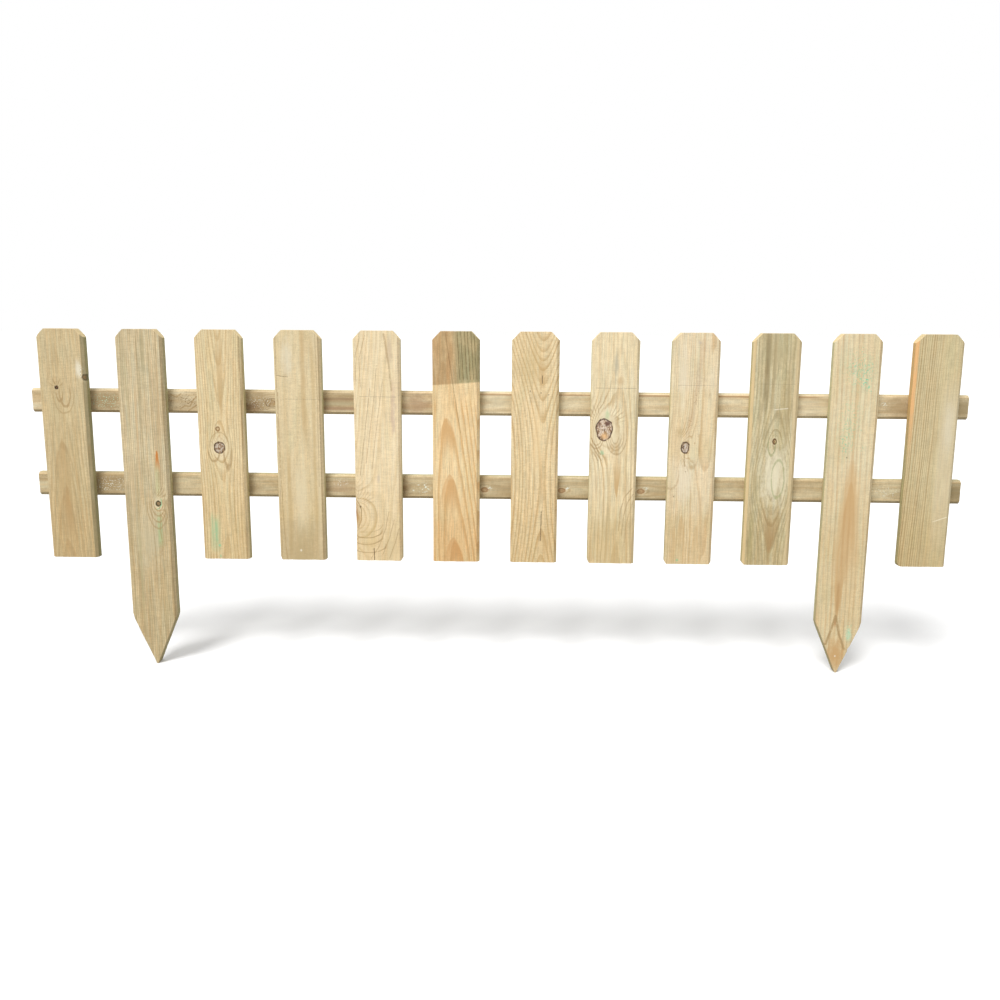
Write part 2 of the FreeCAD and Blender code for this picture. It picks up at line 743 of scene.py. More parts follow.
@dataclass(frozen=True)
class Flame(Mark):
    """A tongue of darker wood that widens away from its tip, where one ring breaks the surface."""

    across: float
    tip: float
    length: float
    half_width: float
    colour: Colour
    strength: float
    points_up: bool = True
    soft: float = 1.6

    def share(self, place: Place) -> Wire:
        """How much of the tongue shows, most of it near the tip.

        Args:
            place: the spot.

        Returns:
            The share.
        """
        sketch = place.sketch
        rate = (-1.0 if self.points_up else 1.0) / self.length
        run = place.along.scaled(rate, -rate * self.tip)
        reach = sketch.math("POWER", sketch.math("MAXIMUM", run, 0.0), 0.6) * self.half_width
        aside = place.sway_across.scaled(2.4, place.across - (self.across + 1.2))
        inside = (abs(aside) - reach).fade(0.5 * self.soft, -0.5 * self.soft)
        return inside * run.fade(1.0, 0.2, 0.0, self.strength) * place.on_front


@dataclass(frozen=True)
class Grain:
    """Where the tree's heart ran past a timber, and how its rings are spaced.

    Rings make arches along the middle of a board where the heart comes nearer or goes farther
    along it, and closed ovals or saddles where it bows.
    """

    heart_across: float
    heart_depth: float
    lean_across: float = 0.0
    lean_depth: float = 0.0
    bow: float = 0.0
    bow_at: float = 0.0
    ring: float = 2.2
    wobble: float = 5.0
    ripple: float = 1.2
    contrast: float = 0.75
    stirred: float = 0.9
    spread: float = 1.0
    seed: float = 1.0
    clear: Point | None = None
    shows: Span | None = None


@dataclass(frozen=True)
class Tone:
    """The colours of one timber, how strongly its surface varies, and how dark the painted shade lines along
    its arrises are.
    """

    pale: Colour
    late: Colour
    streak: Colour
    streaks: float = 0.4
    patch: Colour = tint(200, 192, 146)
    patches: float = 0.2
    saw: float = 0.15
    row: float = 1.15
    hues: float = 0.8
    fibre: float = 1.0
    cloud: float = 0.04
    # Painted shade: how dark the hairline is along the front's left and right arrises (lower and upper on a
    # rail).
    left_arris_shade: float = 0.12
    right_arris_shade: float = 0.25


@dataclass(frozen=True)
class TimberFinish:
    """The whole look of one timber, and the relief that its grain and marks give the surface."""

    name: str
    direction: Direction
    centre: float
    front: float
    arris: float
    grain: Grain
    tone: Tone
    marks: tuple[Mark, ...] = ()

    def place(self, sketch: Sketch, position: Wire) -> Place:
        """Turns a position in metres into the timber's own millimetres.

        Args:
            sketch: where nodes are written.
            position: the point on the piece.

        Returns:
            The point's place on the timber.
        """
        x, y, z = sketch.split(sketch.vector("MULTIPLY", position, (1 / MM, 1 / MM, 1 / MM)))
        aside, along = (x, z) if self.direction is Direction.UPRIGHT else (z, x)
        return Place(sketch, aside - self.centre, y - self.front, along, self.grain.seed)

    def heart(self, place: Place) -> Wire:
        """Where the tree's heart is at the height of a spot.

        Args:
            place: the spot.

        Returns:
            The heart's place as a vector, moved by the mean of the noises that stir the rings.
        """
        grain = self.grain
        middle = (grain.wobble + grain.ripple) / 2
        across = place.along.scaled(grain.lean_across, grain.heart_across + middle)
        depth = place.along.scaled(grain.lean_depth, grain.heart_depth + middle)
        if grain.bow:
            away = place.along.scaled(0.01, -0.01 * grain.bow_at)
            depth = (away * away).scaled(grain.bow, depth)
        return place.sketch.combine(across, depth, place.along)

    def total(self, parts: list[Wire | None]) -> Wire | None:
        """The sum of what several marks give, or nothing where none of them gives any."""
        given = [part for part in parts if part is not None]
        return reduce(add, given) if given else None

    def ring_count(self, place: Place, stir: Wire | None) -> Wire:
        """Which growth ring a spot lies in, counted from the heart, with its fraction.

        Args:
            place: the spot.
            stir: how far the rings are pushed aside.

        Returns:
            The count.
        """
        sketch, grain, moved = place.sketch, self.grain, place.spot
        for layer, size in ((Layer.DRIFT, grain.wobble), (Layer.RIPPLE, grain.ripple)):
            moved = sketch.vector("MULTIPLY_ADD", place.layer(layer)[1], (size, size, 0.0), moved)
        parted = self.total([mark.part(place) for mark in self.marks])
        if parted is not None:
            moved = sketch.vector("ADD", moved, sketch.combine(parted, 0.0))
        radius = sketch.vector("DISTANCE", moved, self.heart(place))
        if stir is not None:
            radius = radius - stir
        count = radius / grain.ring
        uneven, _ = sketch.noise(sketch.combine(count * 0.37, grain.seed), 1.0)
        return uneven.scaled(1.3 * grain.spread, count)

    def latewood(self, place: Place) -> Wire:
        """How much of the thin dark part of a ring shows at a spot.

        Args:
            place: the spot.

        Returns:
            The share, from 0 to about 1.
        """
        sketch, grain = place.sketch, self.grain
        stir = self.total([mark.push(place) for mark in self.marks])
        count = self.ring_count(place, stir)
        part = sketch.math("FRACT", count)
        each, _ = sketch.noise(sketch.combine(sketch.math("FLOOR", count) * 7.31, grain.seed), 0.0)
        line = part.fade(0.42, 0.86) * part.fade(1.0, 0.93)
        line = line * each.fade(0.3, 0.68, 1.0 - 0.6 * grain.spread, 1.0 + 0.15 * grain.spread)
        if grain.clear:
            line = line * place.across.fade(grain.clear[1], grain.clear[0], 0.12)
        if grain.shows:
            line = line * place.within(place.along, grain.shows).scaled(0.7, 0.3)
        contrast = grain.contrast
        if stir is not None:
            contrast = stir.fade(0.6, 4.5, grain.contrast, max(grain.stirred, grain.contrast))
        return line * contrast

    def material(self) -> bpy.types.Material:
        """Writes the timber's material.

        Returns:
            The material.
        """
        material = bpy.data.materials.new(self.name)
        sketch = Sketch.of(material)
        place = self.place(sketch, sketch.take("ShaderNodeTexCoord", output="Object"))
        late = self.latewood(place)
        fibre, _ = place.layer(Layer.FIBRE)
        saw, _ = place.layer(Layer.SAW, self.tone.row)
        colour = self.surface_shade(place, self.body_colour(place, late, fibre), fibre, saw)
        for mark in self.marks:
            colour = mark.paint(place, colour)
        height = saw.scaled(0.14 * self.tone.saw, fibre * 0.1)
        bump = sketch.take("ShaderNodeBump", {"Strength": 0.8, "Distance": MM, "Height": height})
        sketch.surface(sketch.take("ShaderNodeBsdfPrincipled", {
            "Base Color": self.sides(place, sketch.take("ShaderNodeTexCoord", output="Normal"), colour),
            "Roughness": late.fade(0.0, 1.0, 0.82, 0.66), "Specular IOR Level": 0.28, "Normal": bump}))
        return material

    def body_colour(self, place: Place, late: Wire, fibre: Wire) -> Wire:
        """The colour of plain wood: pale and dark rings, streaks, patches and slight changes of hue, and on a
        board a darkening towards its foot that is partly painted shade.

        Args:
            place: the spot.
            late: how much dark ring shows.
            fibre: the noise of the fibres.

        Returns:
            The colour.
        """
        sketch, tone = place.sketch, self.tone
        streak, patch, hue = (place.layer(layer)[0] for layer in (Layer.STREAK, Layer.PATCH, Layer.HUE))
        colour = sketch.blend(streak.fade(0.4, 0.68, 0.0, tone.streaks), tone.pale, tone.streak)
        colour = sketch.blend(patch.fade(0.45, 0.7, 0.0, tone.patches), colour, tone.patch)
        colour = sketch.blend(late * fibre.fade(0.25, 0.7, 0.7, 1.15), colour, tone.late)
        cast = sketch.blend(hue.fade(0.36, 0.64), COOL_CAST, WARM_CAST)
        colour = sketch.blend(tone.hues, colour, cast, "MULTIPLY")
        # Darker towards the foot: partly the wood's tone, partly painted shade where less light reaches low
        # down.
        if self.direction is Direction.UPRIGHT:
            colour = sketch.blend(place.along.fade(130.0, 20.0), colour, FOOT_TONE_AND_SHADE, "MULTIPLY")
        return colour

    def surface_shade(self, place: Place, colour: Wire, fibre: Wire, saw: Wire) -> Wire:
        """Darkens and lightens the wood by its fibres, specks, saw rows and small clouds.

        Args:
            place: the spot.
            colour: the colour so far.
            fibre: the noise of the fibres.
            saw: the noise of the saw rows.

        Returns:
            The colour.
        """
        tone = self.tone
        specks = place.layer(Layer.SPECK)[0].fade(0.3, 0.68, 0.93, 1.07)
        clouds = place.layer(Layer.CLOUD)[0].fade(0.28, 0.72, 1.0 - tone.cloud, 1.0 + tone.cloud)
        fibres = fibre.fade(0.3, 0.68, 1.0 - 0.15 * tone.fibre, 1.0 + 0.13 * tone.fibre)
        rows = saw.fade(0.3, 0.68, 1.0 - 0.3 * tone.saw, 1.0 + 0.26 * tone.saw)
        shade = fibres * specks * (rows * clouds)
        return place.sketch.blend(1.0, colour, place.sketch.combine(shade, shade, shade), "MULTIPLY")

    def sides(self, place: Place, normal: Wire, colour: Wire) -> Wire:
        """Colours what isn't the front: painted shade as hairlines at the front's edges, darker and greener
        sides and back, and fresher sawn ends.

        Args:
            place: the spot.
            normal: the way the surface faces.
            colour: the colour so far.

        Returns:
            The colour.
        """
        sketch = place.sketch
        # Painted shade: a thin dark line where the front meets each chamfer.
        for side, strength in ((-1, self.tone.left_arris_shade), (1, self.tone.right_arris_shade)):
            away = abs(place.across - side * self.arris)
            line = away.fade(1.0, 0.2, 0.0, strength) * place.depth.fade(3.0, 1.0)
            colour = sketch.blend(line * place.grit.fade(0.25, 0.5), colour, EDGE_SHADE)
        # Sides and back are made a little darker and greener than the front.
        colour = sketch.blend(place.depth.fade(2.4, 4.0), colour, SIDE_CAST, "MULTIPLY")
        x, _, z = sketch.split(normal)
        facing = abs(z if self.direction is Direction.UPRIGHT else x)
        sawn = sketch.blend(place.grit.fade(0.3, 0.6, 0.35, 0.75), colour, SAWN_END)
        return sketch.blend(facing.fade(0.45, 0.65), colour, sawn)

    def relief(self, place: Place) -> Wire:
        """How far the surface is sunk by planing, grain, knots, cracks and chips.

        Args:
            place: the spot.

        Returns:
            The depth in millimetres, never less than none.
        """
        waves, rough = place.layer(Layer.WAVE)[0], place.layer(Layer.ROUGH)[0]
        depth = rough.scaled(0.07, waves.fade(0.25, 0.75, 0.0, 0.22))
        depth = self.latewood(place).scaled(-0.04, depth + 0.04)
        hollows = [mark.hollow(place) for mark in self.marks]
        return place.sketch.math("MAXIMUM", self.total([depth, *hollows]), 0.0)

    def relief_tree(self, material: bpy.types.Material) -> bpy.types.NodeTree:
        """The geometry tree that sinks the surface of a timber.

        Args:
            material: what the surface is given at the end.

        Returns:
            The tree, with the named input Relief that scales the depth.
        """
        tree, sketch, start = geometry_tree(self.name + "_relief", {"Relief": "NodeSocketFloat"})
        place = self.place(sketch, sketch.take("GeometryNodeInputPosition"))
        depth = self.relief(place) * start.outputs["Relief"] * -MM
        offset = sketch.take("ShaderNodeVectorMath", {
            0: sketch.take("GeometryNodeInputNormal"), "Scale": depth}, operation="SCALE")
        moved = sketch.take("GeometryNodeSetPosition", {
            "Geometry": start.outputs["Geometry"], "Offset": offset})
        sketch.dress(moved, material)
        return tree


def geometry_tree(name: str, inputs: dict[str, str]) -> tuple[bpy.types.NodeTree, Sketch, bpy.types.Node]:
    """A new geometry tree that takes and gives a geometry.

    Args:
        name: its name.
        inputs: the kinds of its further inputs, by name.

    Returns:
        The tree, a sketch on it and the node of its inputs.
    """
    tree = bpy.data.node_groups.new(name, "GeometryNodeTree")
    tree.interface.new_socket("Geometry", in_out="OUTPUT", socket_type="NodeSocketGeometry")
    for title, kind in {"Geometry": "NodeSocketGeometry", **inputs}.items():
        tree.interface.new_socket(title, in_out="INPUT", socket_type=kind)
    sketch = Sketch(tree)
    return tree, sketch, sketch.add("NodeGroupInput")


def add_object(name: str, data: bpy.types.ID) -> bpy.types.Object:
    """Puts a new object into the scene.

    Args:
        name: its name.
        data: its mesh, lamp or camera.

    Returns:
        The object.
    """
    made = bpy.data.objects.new(name, data)
    bpy.context.scene.collection.objects.link(made)
    return made


def settle(piece: bpy.types.Object, tree: bpy.types.NodeTree, values: dict[str, object]) -> bpy.types.Object:
    """Runs a geometry tree on a piece and keeps the result as its plain mesh.

    Args:
        piece: the object, already in the scene.
        tree: what it is run through.
        values: the tree's named inputs.

    Returns:
        The same object with its new mesh and no modifier.
    """
    modifier = piece.modifiers.new(tree.name, "NODES")
    modifier.node_group = tree
    for item in tree.interface.items_tree:
        if item.item_type == "SOCKET" and item.in_out == "INPUT" and item.name in values:
            modifier[item.identifier] = values[item.name]
    bpy.context.view_layer.update()
    evaluated = piece.evaluated_get(bpy.context.evaluated_depsgraph_get())
    plain = bpy.data.meshes.new_from_object(evaluated)
    piece.modifiers.remove(modifier)
    old = piece.data
    piece.data = plain
    plain.name = piece.name
    bpy.data.meshes.remove(old)
    return piece


@dataclass(frozen=True)
class Nick:
    """A bite out of one long edge or corner of a timber, in millimetres."""

    side: int
    along: float
    reach: float
    bite: float

    def cut(self, along: np.ndarray) -> np.ndarray:
        """How far the edge is set back at each station."""
        return self.bite * np.clip(1 - np.abs(along - self.along) / self.reach, 0, 1)


@dataclass(frozen=True)
class TimberShape:
    """The outline and section of one timber, in millimetres of its own directions.

    The section is a rectangle with chamfered edges. The upper end can have its corners sawn off
    as dog ears, and the lower end can be sawn to a point.
    """

    half_width: float
    thickness: float
    low: float
    high: float
    ear: float = 0.0
    point: float = 0.0
    step: float = 1.4
    nicks: tuple[Nick, ...] = ()
    seed: float = 1.0
    chamfer: float = 3.0
    half_tip: float = 1.0
    worn: float = 0.3
    face_steps: int = 44
    edge_steps: int = 3
    side_steps: int = 6
    rounding: float = 0.26
    least_wear: float = 0.2
    more_wear: float = 0.5
    ear_rough: float = 0.2
    point_rough: float = 0.35
    end_rough: float = 0.35
    sharp_from: float = 32.0

    def stations(self) -> np.ndarray:
        """Where sections are taken along the length, with some at each end and corner.

        Returns:
            The places, from low to high.
        """
        breaks = [self.low, self.low + self.worn, self.high - self.worn, self.high]
        if self.ear:
            breaks += [self.high - self.ear - 0.3, self.high - self.ear, self.high - self.ear + 0.4]
        if self.point:
            breaks += [self.low + self.point - 0.4, self.low + self.point, self.low + self.point + 0.3]
        count = round((self.high - self.low) / self.step)
        even = np.linspace(self.low, self.high, count + 1)
        free = [w for w in even if min(abs(w - b) for b in breaks) > 0.4 * self.step]
        return np.array(sorted(breaks + free))

    def reach(self, along: np.ndarray, side: int) -> np.ndarray:
        """How far one side is from the centre line, a little uneven where it was sawn.

        Args:
            along: the stations.
            side: -1 for the left or lower side, 1 for the other.

        Returns:
            The distance at each station.
        """
        uneven = np.array([abs(noise.noise(Vector((w / 3.0, self.seed, 2.0 * side)))) for w in along])
        half = np.full(along.shape, self.half_width)
        if self.ear:
            sawn = self.half_width - (along - self.high + self.ear)
            half = np.minimum(half, sawn - self.ear_rough * uneven)
        if self.point:
            rise = (along - self.low) / self.point
            sawn = self.half_tip + (self.half_width - self.half_tip) * rise
            half = np.minimum(half, sawn - self.point_rough * uneven * (rise > 0.03))
        for nick in self.nicks:
            if nick.side == side:
                half = half - nick.cut(along) * (0.8 + 0.4 * uneven)
        return half

    def sections(self, along: np.ndarray) -> np.ndarray:
        """The ring of points round each station.

        Args:
            along: the stations.

        Returns:
            An array by station and point, of the distances across and into the depth.
        """
        inset = np.zeros(along.shape)
        inset[0] = inset[-1] = self.worn * 0.8
        left, right = self.reach(along, -1) - inset, self.reach(along, 1) - inset
        edge_left, edge_right = self.edge(left + inset), self.edge(right + inset)
        front, back = inset, self.thickness - inset
        corners = np.stack([
            np.stack([edge_left - left, front], -1), np.stack([right - edge_right, front], -1),
            np.stack([right, front + edge_right], -1), np.stack([right, back - edge_right], -1),
            np.stack([right - edge_right, back], -1), np.stack([edge_left - left, back], -1),
            np.stack([-left, back - edge_left], -1), np.stack([-left, front + edge_left], -1),
        ], 1)
        runs = np.roll(corners, -1, 1) - corners
        lengths = np.linalg.norm(runs, axis=2)
        ways = runs / np.maximum(lengths, 1e-9)[..., None]
        worn = np.minimum(self.wear(along), 0.42 * np.minimum(lengths, np.roll(lengths, 1, 1)))
        ring = []
        counts = (self.face_steps, self.edge_steps, self.side_steps, self.edge_steps) * 2
        for side, count in enumerate(counts):
            after = (side + 1) % 8
            begin = corners[:, side] + ways[:, side] * worn[:, side, None]
            finish = corners[:, after] - ways[:, side] * worn[:, after, None]
            ring += [begin + (finish - begin) * (n / count) for n in range(count + 1)]
            bend = (ways[:, after] - ways[:, side]) * self.rounding
            ring.append(corners[:, after] + bend * worn[:, after, None])
        return np.stack(ring, 1)

    def edge(self, half: np.ndarray) -> np.ndarray:
        """The chamfer that is left where a side is sawn back to this far from the centre line."""
        left = np.clip(self.chamfer - (self.half_width - half), self.worn, self.chamfer)
        return np.minimum(left, half * 0.8)

    def wear(self, along: np.ndarray) -> np.ndarray:
        """How far each of the eight edges is worn round.

        Args:
            along: the stations.

        Returns:
            An array by station and edge.
        """
        def one(w: float, edge: int) -> float:
            """The wear at one spot."""
            turn = abs(noise.noise(Vector((w / 17.0, edge * 3.1, self.seed))))
            return self.least_wear + self.more_wear * turn

        return np.array([[one(w, edge) for edge in range(8)] for w in along])

    def faces(self, stations: int, ring: int, turned: bool) -> list[tuple[int, ...]]:
        """The faces of the closed skin.

        Args:
            stations: how many sections there are.
            ring: how many points are in each.
            turned: whether the order is turned round to keep the faces outwards.

        Returns:
            Each face's points.
        """
        faces = []
        for s in range(stations - 1):
            low, high = s * ring, (s + 1) * ring
            faces += [(low + r, low + (r + 1) % ring, high + (r + 1) % ring, high + r) for r in range(ring)]
        top = (stations - 1) * ring
        faces += [tuple(top + n for n in face) for face in self.cap(ring)]
        faces += [tuple(reversed(face)) for face in self.cap(ring)]
        return [tuple(reversed(face)) for face in faces] if turned else faces

    def cap(self, ring: int) -> list[tuple[int, ...]]:
        """The faces over one end: strips from front to back, and one face at each side.

        Args:
            ring: how many points are in a section.

        Returns:
            Each face's points, counted from the section's first.
        """
        back = ring // 2
        last = back + self.face_steps
        strips = [(n, n + 1, last - n - 1, last - n) for n in range(self.face_steps)]
        return strips + [tuple(range(self.face_steps, back + 1)), tuple(range(last, ring)) + (0,)]

    def mesh(self, name: str, finish: TimberFinish) -> bpy.types.Mesh:
        """The timber as a mesh in metres, in place.

        Args:
            name: the mesh's name.
            finish: says which way the timber runs and where it is.

        Returns:
            The mesh.
        """
        along = self.stations()
        rings = self.sections(along)
        count, ring = rings.shape[:2]
        length = np.repeat(along[:, None], ring, 1)
        for end, way in ((-1, -1.0), (0, 1.0)):
            for r, (u, v) in enumerate(rings[end]):
                rough = abs(noise.noise(Vector((u / 2.5, v / 2.5, self.seed + end))))
                length[end, r] += way * self.end_rough * rough
        across, depth = rings[..., 0] + finish.centre, rings[..., 1] + finish.front
        upright = finish.direction is Direction.UPRIGHT
        parts = (across, depth, length) if upright else (length, depth, across)
        points = np.stack(parts, -1).reshape(-1, 3) * MM
        mesh = bpy.data.meshes.new(name)
        mesh.from_pydata(points.tolist(), [], self.faces(count, ring, not upright))
        mesh.shade_smooth()
        mesh.set_sharp_from_angle(angle=math.radians(self.sharp_from))
        return mesh


@dataclass(frozen=True)
class Timber:
    """One board or rail, which stands for its plain solid in the frame."""

    name: str
    node: str
    slot: str
    shape: TimberShape
    finish: TimberFinish
    relief: float = 1.0

    def build(self) -> bpy.types.Object:
        """Makes the timber and ties it to the frame.

        Returns:
            The piece.
        """
        piece = add_object(self.name, self.shape.mesh(self.name, self.finish))
        settle(piece, self.finish.relief_tree(self.finish.material()), {"Relief": self.relief})
        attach(piece, "root")
        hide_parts(self.node)
        return piece


@dataclass(frozen=True)
class NailSteel:
    """Zinc-plated steel that has gone dull, with some brown at the rim."""

    name: str = "nail_steel"
    cloud_scale: float = 900.0
    rust_scale: float = 420.0
    plate: Colour = tint(168, 168, 163)
    dull: Colour = tint(124, 122, 116)
    rust: Colour = tint(126, 88, 60)

    def material(self) -> bpy.types.Material:
        """The nails' material.

        Returns:
            The material.
        """
        material = bpy.data.materials.new(self.name)
        sketch = Sketch.of(material)
        spot = sketch.take("ShaderNodeTexCoord", output="Object")
        cloud, _ = sketch.noise(sketch.vector("MULTIPLY", spot, (self.cloud_scale,) * 3), 3.0)
        speck, _ = sketch.noise(sketch.vector("MULTIPLY", spot, (self.rust_scale,) * 3), 4.0, 0.7)
        colour = sketch.blend(cloud.fade(0.35, 0.65), self.plate, self.dull)
        colour = sketch.blend(speck.fade(0.58, 0.7, 0.0, 0.8), colour, self.rust)
        bump = sketch.take("ShaderNodeBump", {"Distance": 0.1 * MM, "Height": cloud})
        sketch.surface(sketch.take("ShaderNodeBsdfPrincipled", {
            "Metallic": 0.85, "Base Color": colour, "Roughness": cloud.fade(0.3, 0.7, 0.38, 0.62),
            "Normal": bump}))
        return material


@dataclass(frozen=True)
class NailRows:
    """The flat-headed nails, driven from the back through each rail into each board."""

    name: str
    nodes: tuple[str, ...]
    spots: tuple[Point, ...]
    back: float
    head_radius: float = 2.3
    head_height: float = 0.9
    shank_radius: float = 1.0
    end: float = 3.6
    sides: int = 14

    def profile(self) -> list[Point]:
        """The nail's outline as radius and depth behind its head's face, from head to point."""
        length = self.back - self.end
        return [
            (self.head_radius * 0.45, 0.0), (self.head_radius * 0.86, 0.03),
            (self.head_radius, 0.22), (self.head_radius * 0.97, self.head_height * 0.75),
            (self.shank_radius, self.head_height), (self.shank_radius, length - 3.0),
        ]

    def template(self) -> bpy.types.Mesh:
        """One nail, its head's middle at the origin and its shank along -Y.

        Returns:
            The mesh, in metres.
        """
        points = [(0.0, -0.12, 0.0)]
        for radius, depth in self.profile():
            for n in range(self.sides):
                turn = 2 * math.pi * n / self.sides
                points.append((radius * math.cos(turn), -depth, radius * math.sin(turn)))
        points.append((0.0, self.end - self.back, 0.0))
        around = [(n, (n + 1) % self.sides) for n in range(self.sides)]
        faces = [(0, 1 + b, 1 + a) for a, b in around]
        for row in range(len(self.profile()) - 1):
            near, far = 1 + row * self.sides, 1 + (row + 1) * self.sides
            faces += [(near + a, near + b, far + b, far + a) for a, b in around]
        last = len(points) - 1
        faces += [(last - self.sides + a, last - self.sides + b, last) for a, b in around]
        mesh = bpy.data.meshes.new("nail_template")
        mesh.from_pydata([[part * MM for part in point] for point in points], [], faces)
        return mesh

    def tree(self, material: bpy.types.Material) -> bpy.types.NodeTree:
        """The geometry tree that sets one nail on every point, each turned at random.

        Args:
            material: what the nails are given.

        Returns:
            The tree, with the named inputs Nail and Seed.
        """
        tree, sketch, start = geometry_tree(
            "nail_rows", {"Nail": "NodeSocketObject", "Seed": "NodeSocketInt"})
        nail = sketch.take("GeometryNodeObjectInfo", {"Object": start.outputs["Nail"]}, "Geometry")
        turn = sketch.take("FunctionNodeRandomValue", {
            3: 2 * math.pi, "Seed": start.outputs["Seed"]}, 1, data_type="FLOAT")
        rows = sketch.take("GeometryNodeInstanceOnPoints", {
            "Points": start.outputs["Geometry"], "Instance": nail,
            "Rotation": sketch.combine(0.0, turn, 0.0)})
        sketch.dress(sketch.take("GeometryNodeRealizeInstances", {"Geometry": rows}), material)
        return tree

    def build(self) -> bpy.types.Object:
        """Makes all the nails as one piece and ties it to the frame.

        Returns:
            The piece.
        """
        template = add_object("nail_template", self.template())
        points = bpy.data.meshes.new(self.name)
        points.from_pydata([(x * MM, self.back * MM, z * MM) for x, z in self.spots], [], [])
        piece = add_object(self.name, points)
        settle(piece, self.tree(NailSteel().material()), {"Nail": template, "Seed": 7})
        bpy.data.objects.remove(template)
        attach(piece, "root")
        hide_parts(*self.nodes)
        return piece


@dataclass(frozen=True)
class Studio:
    """The white floor, the soft light and the camera, which was fitted to the photograph."""

    floor_level: float
    floor_size: float = 60.0
    floor_bounce: Colour = tint(149, 149, 146)
    ambient: float = 0.68
    sun_strength: float = 2.5
    sun_elevation: float = 50.0
    sun_left: float = 26.0
    sun_angle: float = 24.0
    lens: float = 34.2
    camera_at: tuple[float, float, float] = (0.442, -1.103, 0.282)
    camera_down: float = 10.59
    camera_turn: float = -1.15
    camera_roll: float = 0.38

    def build(self) -> None:
        """Sets up everything round the object."""
        for part in (self.floor, self.world, self.sun, self.camera):
            part()
        bpy.context.scene.view_settings.view_transform = "Standard"

    def seen(self, sketch: Sketch) -> Wire:
        """One for rays that show a colour as it is, none for rays that carry light about.

        Args:
            sketch: where nodes are written.

        Returns:
            The share.
        """
        path = sketch.add("ShaderNodeLightPath").outputs
        shown = sketch.math("MAXIMUM", path["Is Camera Ray"], path["Is Glossy Ray"])
        return sketch.math("MAXIMUM", shown, path["Is Transmission Ray"])

    def floor(self) -> None:
        """A flat white floor just under the lowest point of the object."""
        material = bpy.data.materials.new("white_floor")
        sketch = Sketch.of(material)
        colour = sketch.blend(self.seen(sketch), self.floor_bounce, WHITE)
        sketch.surface(sketch.take("ShaderNodeBsdfDiffuse", {"Color": colour}))
        half = self.floor_size / 2
        corners = [(-half, -half), (half, -half), (half, half), (-half, half)]
        mesh = bpy.data.meshes.new("floor")
        mesh.from_pydata([(x, y, self.floor_level) for x, y in corners], [], [(0, 1, 2, 3)])
        mesh.materials.append(material)
        floor = add_object("floor", mesh)
        floor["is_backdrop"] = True

    def world(self) -> None:
        """White all round where it is seen, and a softer level of light from everywhere."""
        world = bpy.data.worlds.new("white_room")
        sketch = Sketch.of(world)
        soft = self.seen(sketch).scaled(1 - self.ambient, self.ambient)
        background = sketch.take("ShaderNodeBackground", {"Color": WHITE, "Strength": soft})
        sketch.surface(background, "World")
        bpy.context.scene.world = world

    def sun(self) -> None:
        """One broad lamp from the upper left, in front."""
        lamp = bpy.data.lights.new("key", "SUN")
        lamp.energy = self.sun_strength
        lamp.angle = math.radians(self.sun_angle)
        up, left = math.radians(self.sun_elevation), math.radians(self.sun_left)
        towards = Vector((-math.sin(left) * math.cos(up), -math.cos(left) * math.cos(up), math.sin(up)))
        key = add_object("key", lamp)
        key.rotation_euler = towards.to_track_quat("Z", "Y").to_euler()
        key.location = towards * 3

    def camera(self) -> None:
        """The camera, as fitted to the edges of the object in the photograph."""
        lens = bpy.data.cameras.new("camera")
        lens.sensor_width = 36.0
        lens.sensor_fit = "HORIZONTAL"
        lens.lens = self.lens
        lens.clip_start = 0.05
        lens.clip_end = 200.0
        down, turn = math.radians(self.camera_down), math.radians(self.camera_turn)
        roll = math.radians(self.camera_roll)
        forward = Vector((math.sin(turn) * math.cos(down), math.cos(turn) * math.cos(down), -math.sin(down)))
        level = Vector((math.cos(turn), -math.sin(turn), 0.0))
        above = level.cross(forward)
        right = math.cos(roll) * level + math.sin(roll) * above
        up = math.cos(roll) * above - math.sin(roll) * level
        axes = Matrix((right, up, -forward)).transposed().to_4x4()
        camera = add_object("camera", lens)
        camera.matrix_world = Matrix.Translation(self.camera_at) @ axes
        bpy.context.scene.camera = camera


@dataclass(frozen=True)
class BoardLook:
    """What makes one timber differ from the next."""

    grain: Grain
    tone: Tone
    marks: tuple[Mark, ...] = ()
    nicks: tuple[Nick, ...] = ()


def crack(*points: Point, depth: float = 0.5) -> Stroke:
    """A drying crack through a row of points on the front."""
    return Stroke(points, 0.7, CRACK, 0.8, wander=0.6, depth=depth)


def pencil(along: float, left: float, right: float, strength: float) -> Stroke:
    """A faint pencil line drawn square across a board, where a rail lies behind it."""
    return Stroke(((left, along), (right, along - 0.3)), 0.65, PENCIL, strength, wander=0.25)


def vein(half_width: float, strength: float, *points: Point) -> Stroke:
    """A darker line of grain that the rings alone don't give."""
    return Stroke(points, half_width, VEIN, strength, wander=0.5)


def strip(left: float, right: float, low: float, high: float, colour: Colour, strength: float,
          soft: float = 2.0) -> Band:
    """A long strip of other colour that fades out at both ends.

    Args:
        left, right: its sides across the board.
        low, high: where it begins and ends along the board.
        colour, strength: what it looks like.
        soft: how wide its blurred sides are.

    Returns:
        The strip.
    """
    fade = 0.25 * (high - low)
    across = blurred(left, right, soft / 2, soft / 2)
    return Band(across, (low, low + fade, high - fade, high), colour, strength)


def wash(low: float, high: float, colour: Colour) -> Band:
    """A slight change of tone from one height to another."""
    return Band(WHOLE, (low, low + 16.0, high - 16.0, high), colour, 1.0, as_filter=True)


def specks(across: float, along: float, half_width: float, half_height: float, strength: float, size: float,
           colour: Colour = MINT) -> Stain:
    """Many small spots scattered over a patch."""
    return Stain(across, along, half_width, half_height, colour, strength, speckle=size)


def speck(across: float, along: float, colour: Colour = SPECK_BROWN, size: float = 1.2) -> Stain:
    """One small spot with a nearly even edge."""
    return Stain(across, along, size, size * 1.15, colour, 0.8, ragged=0.3)


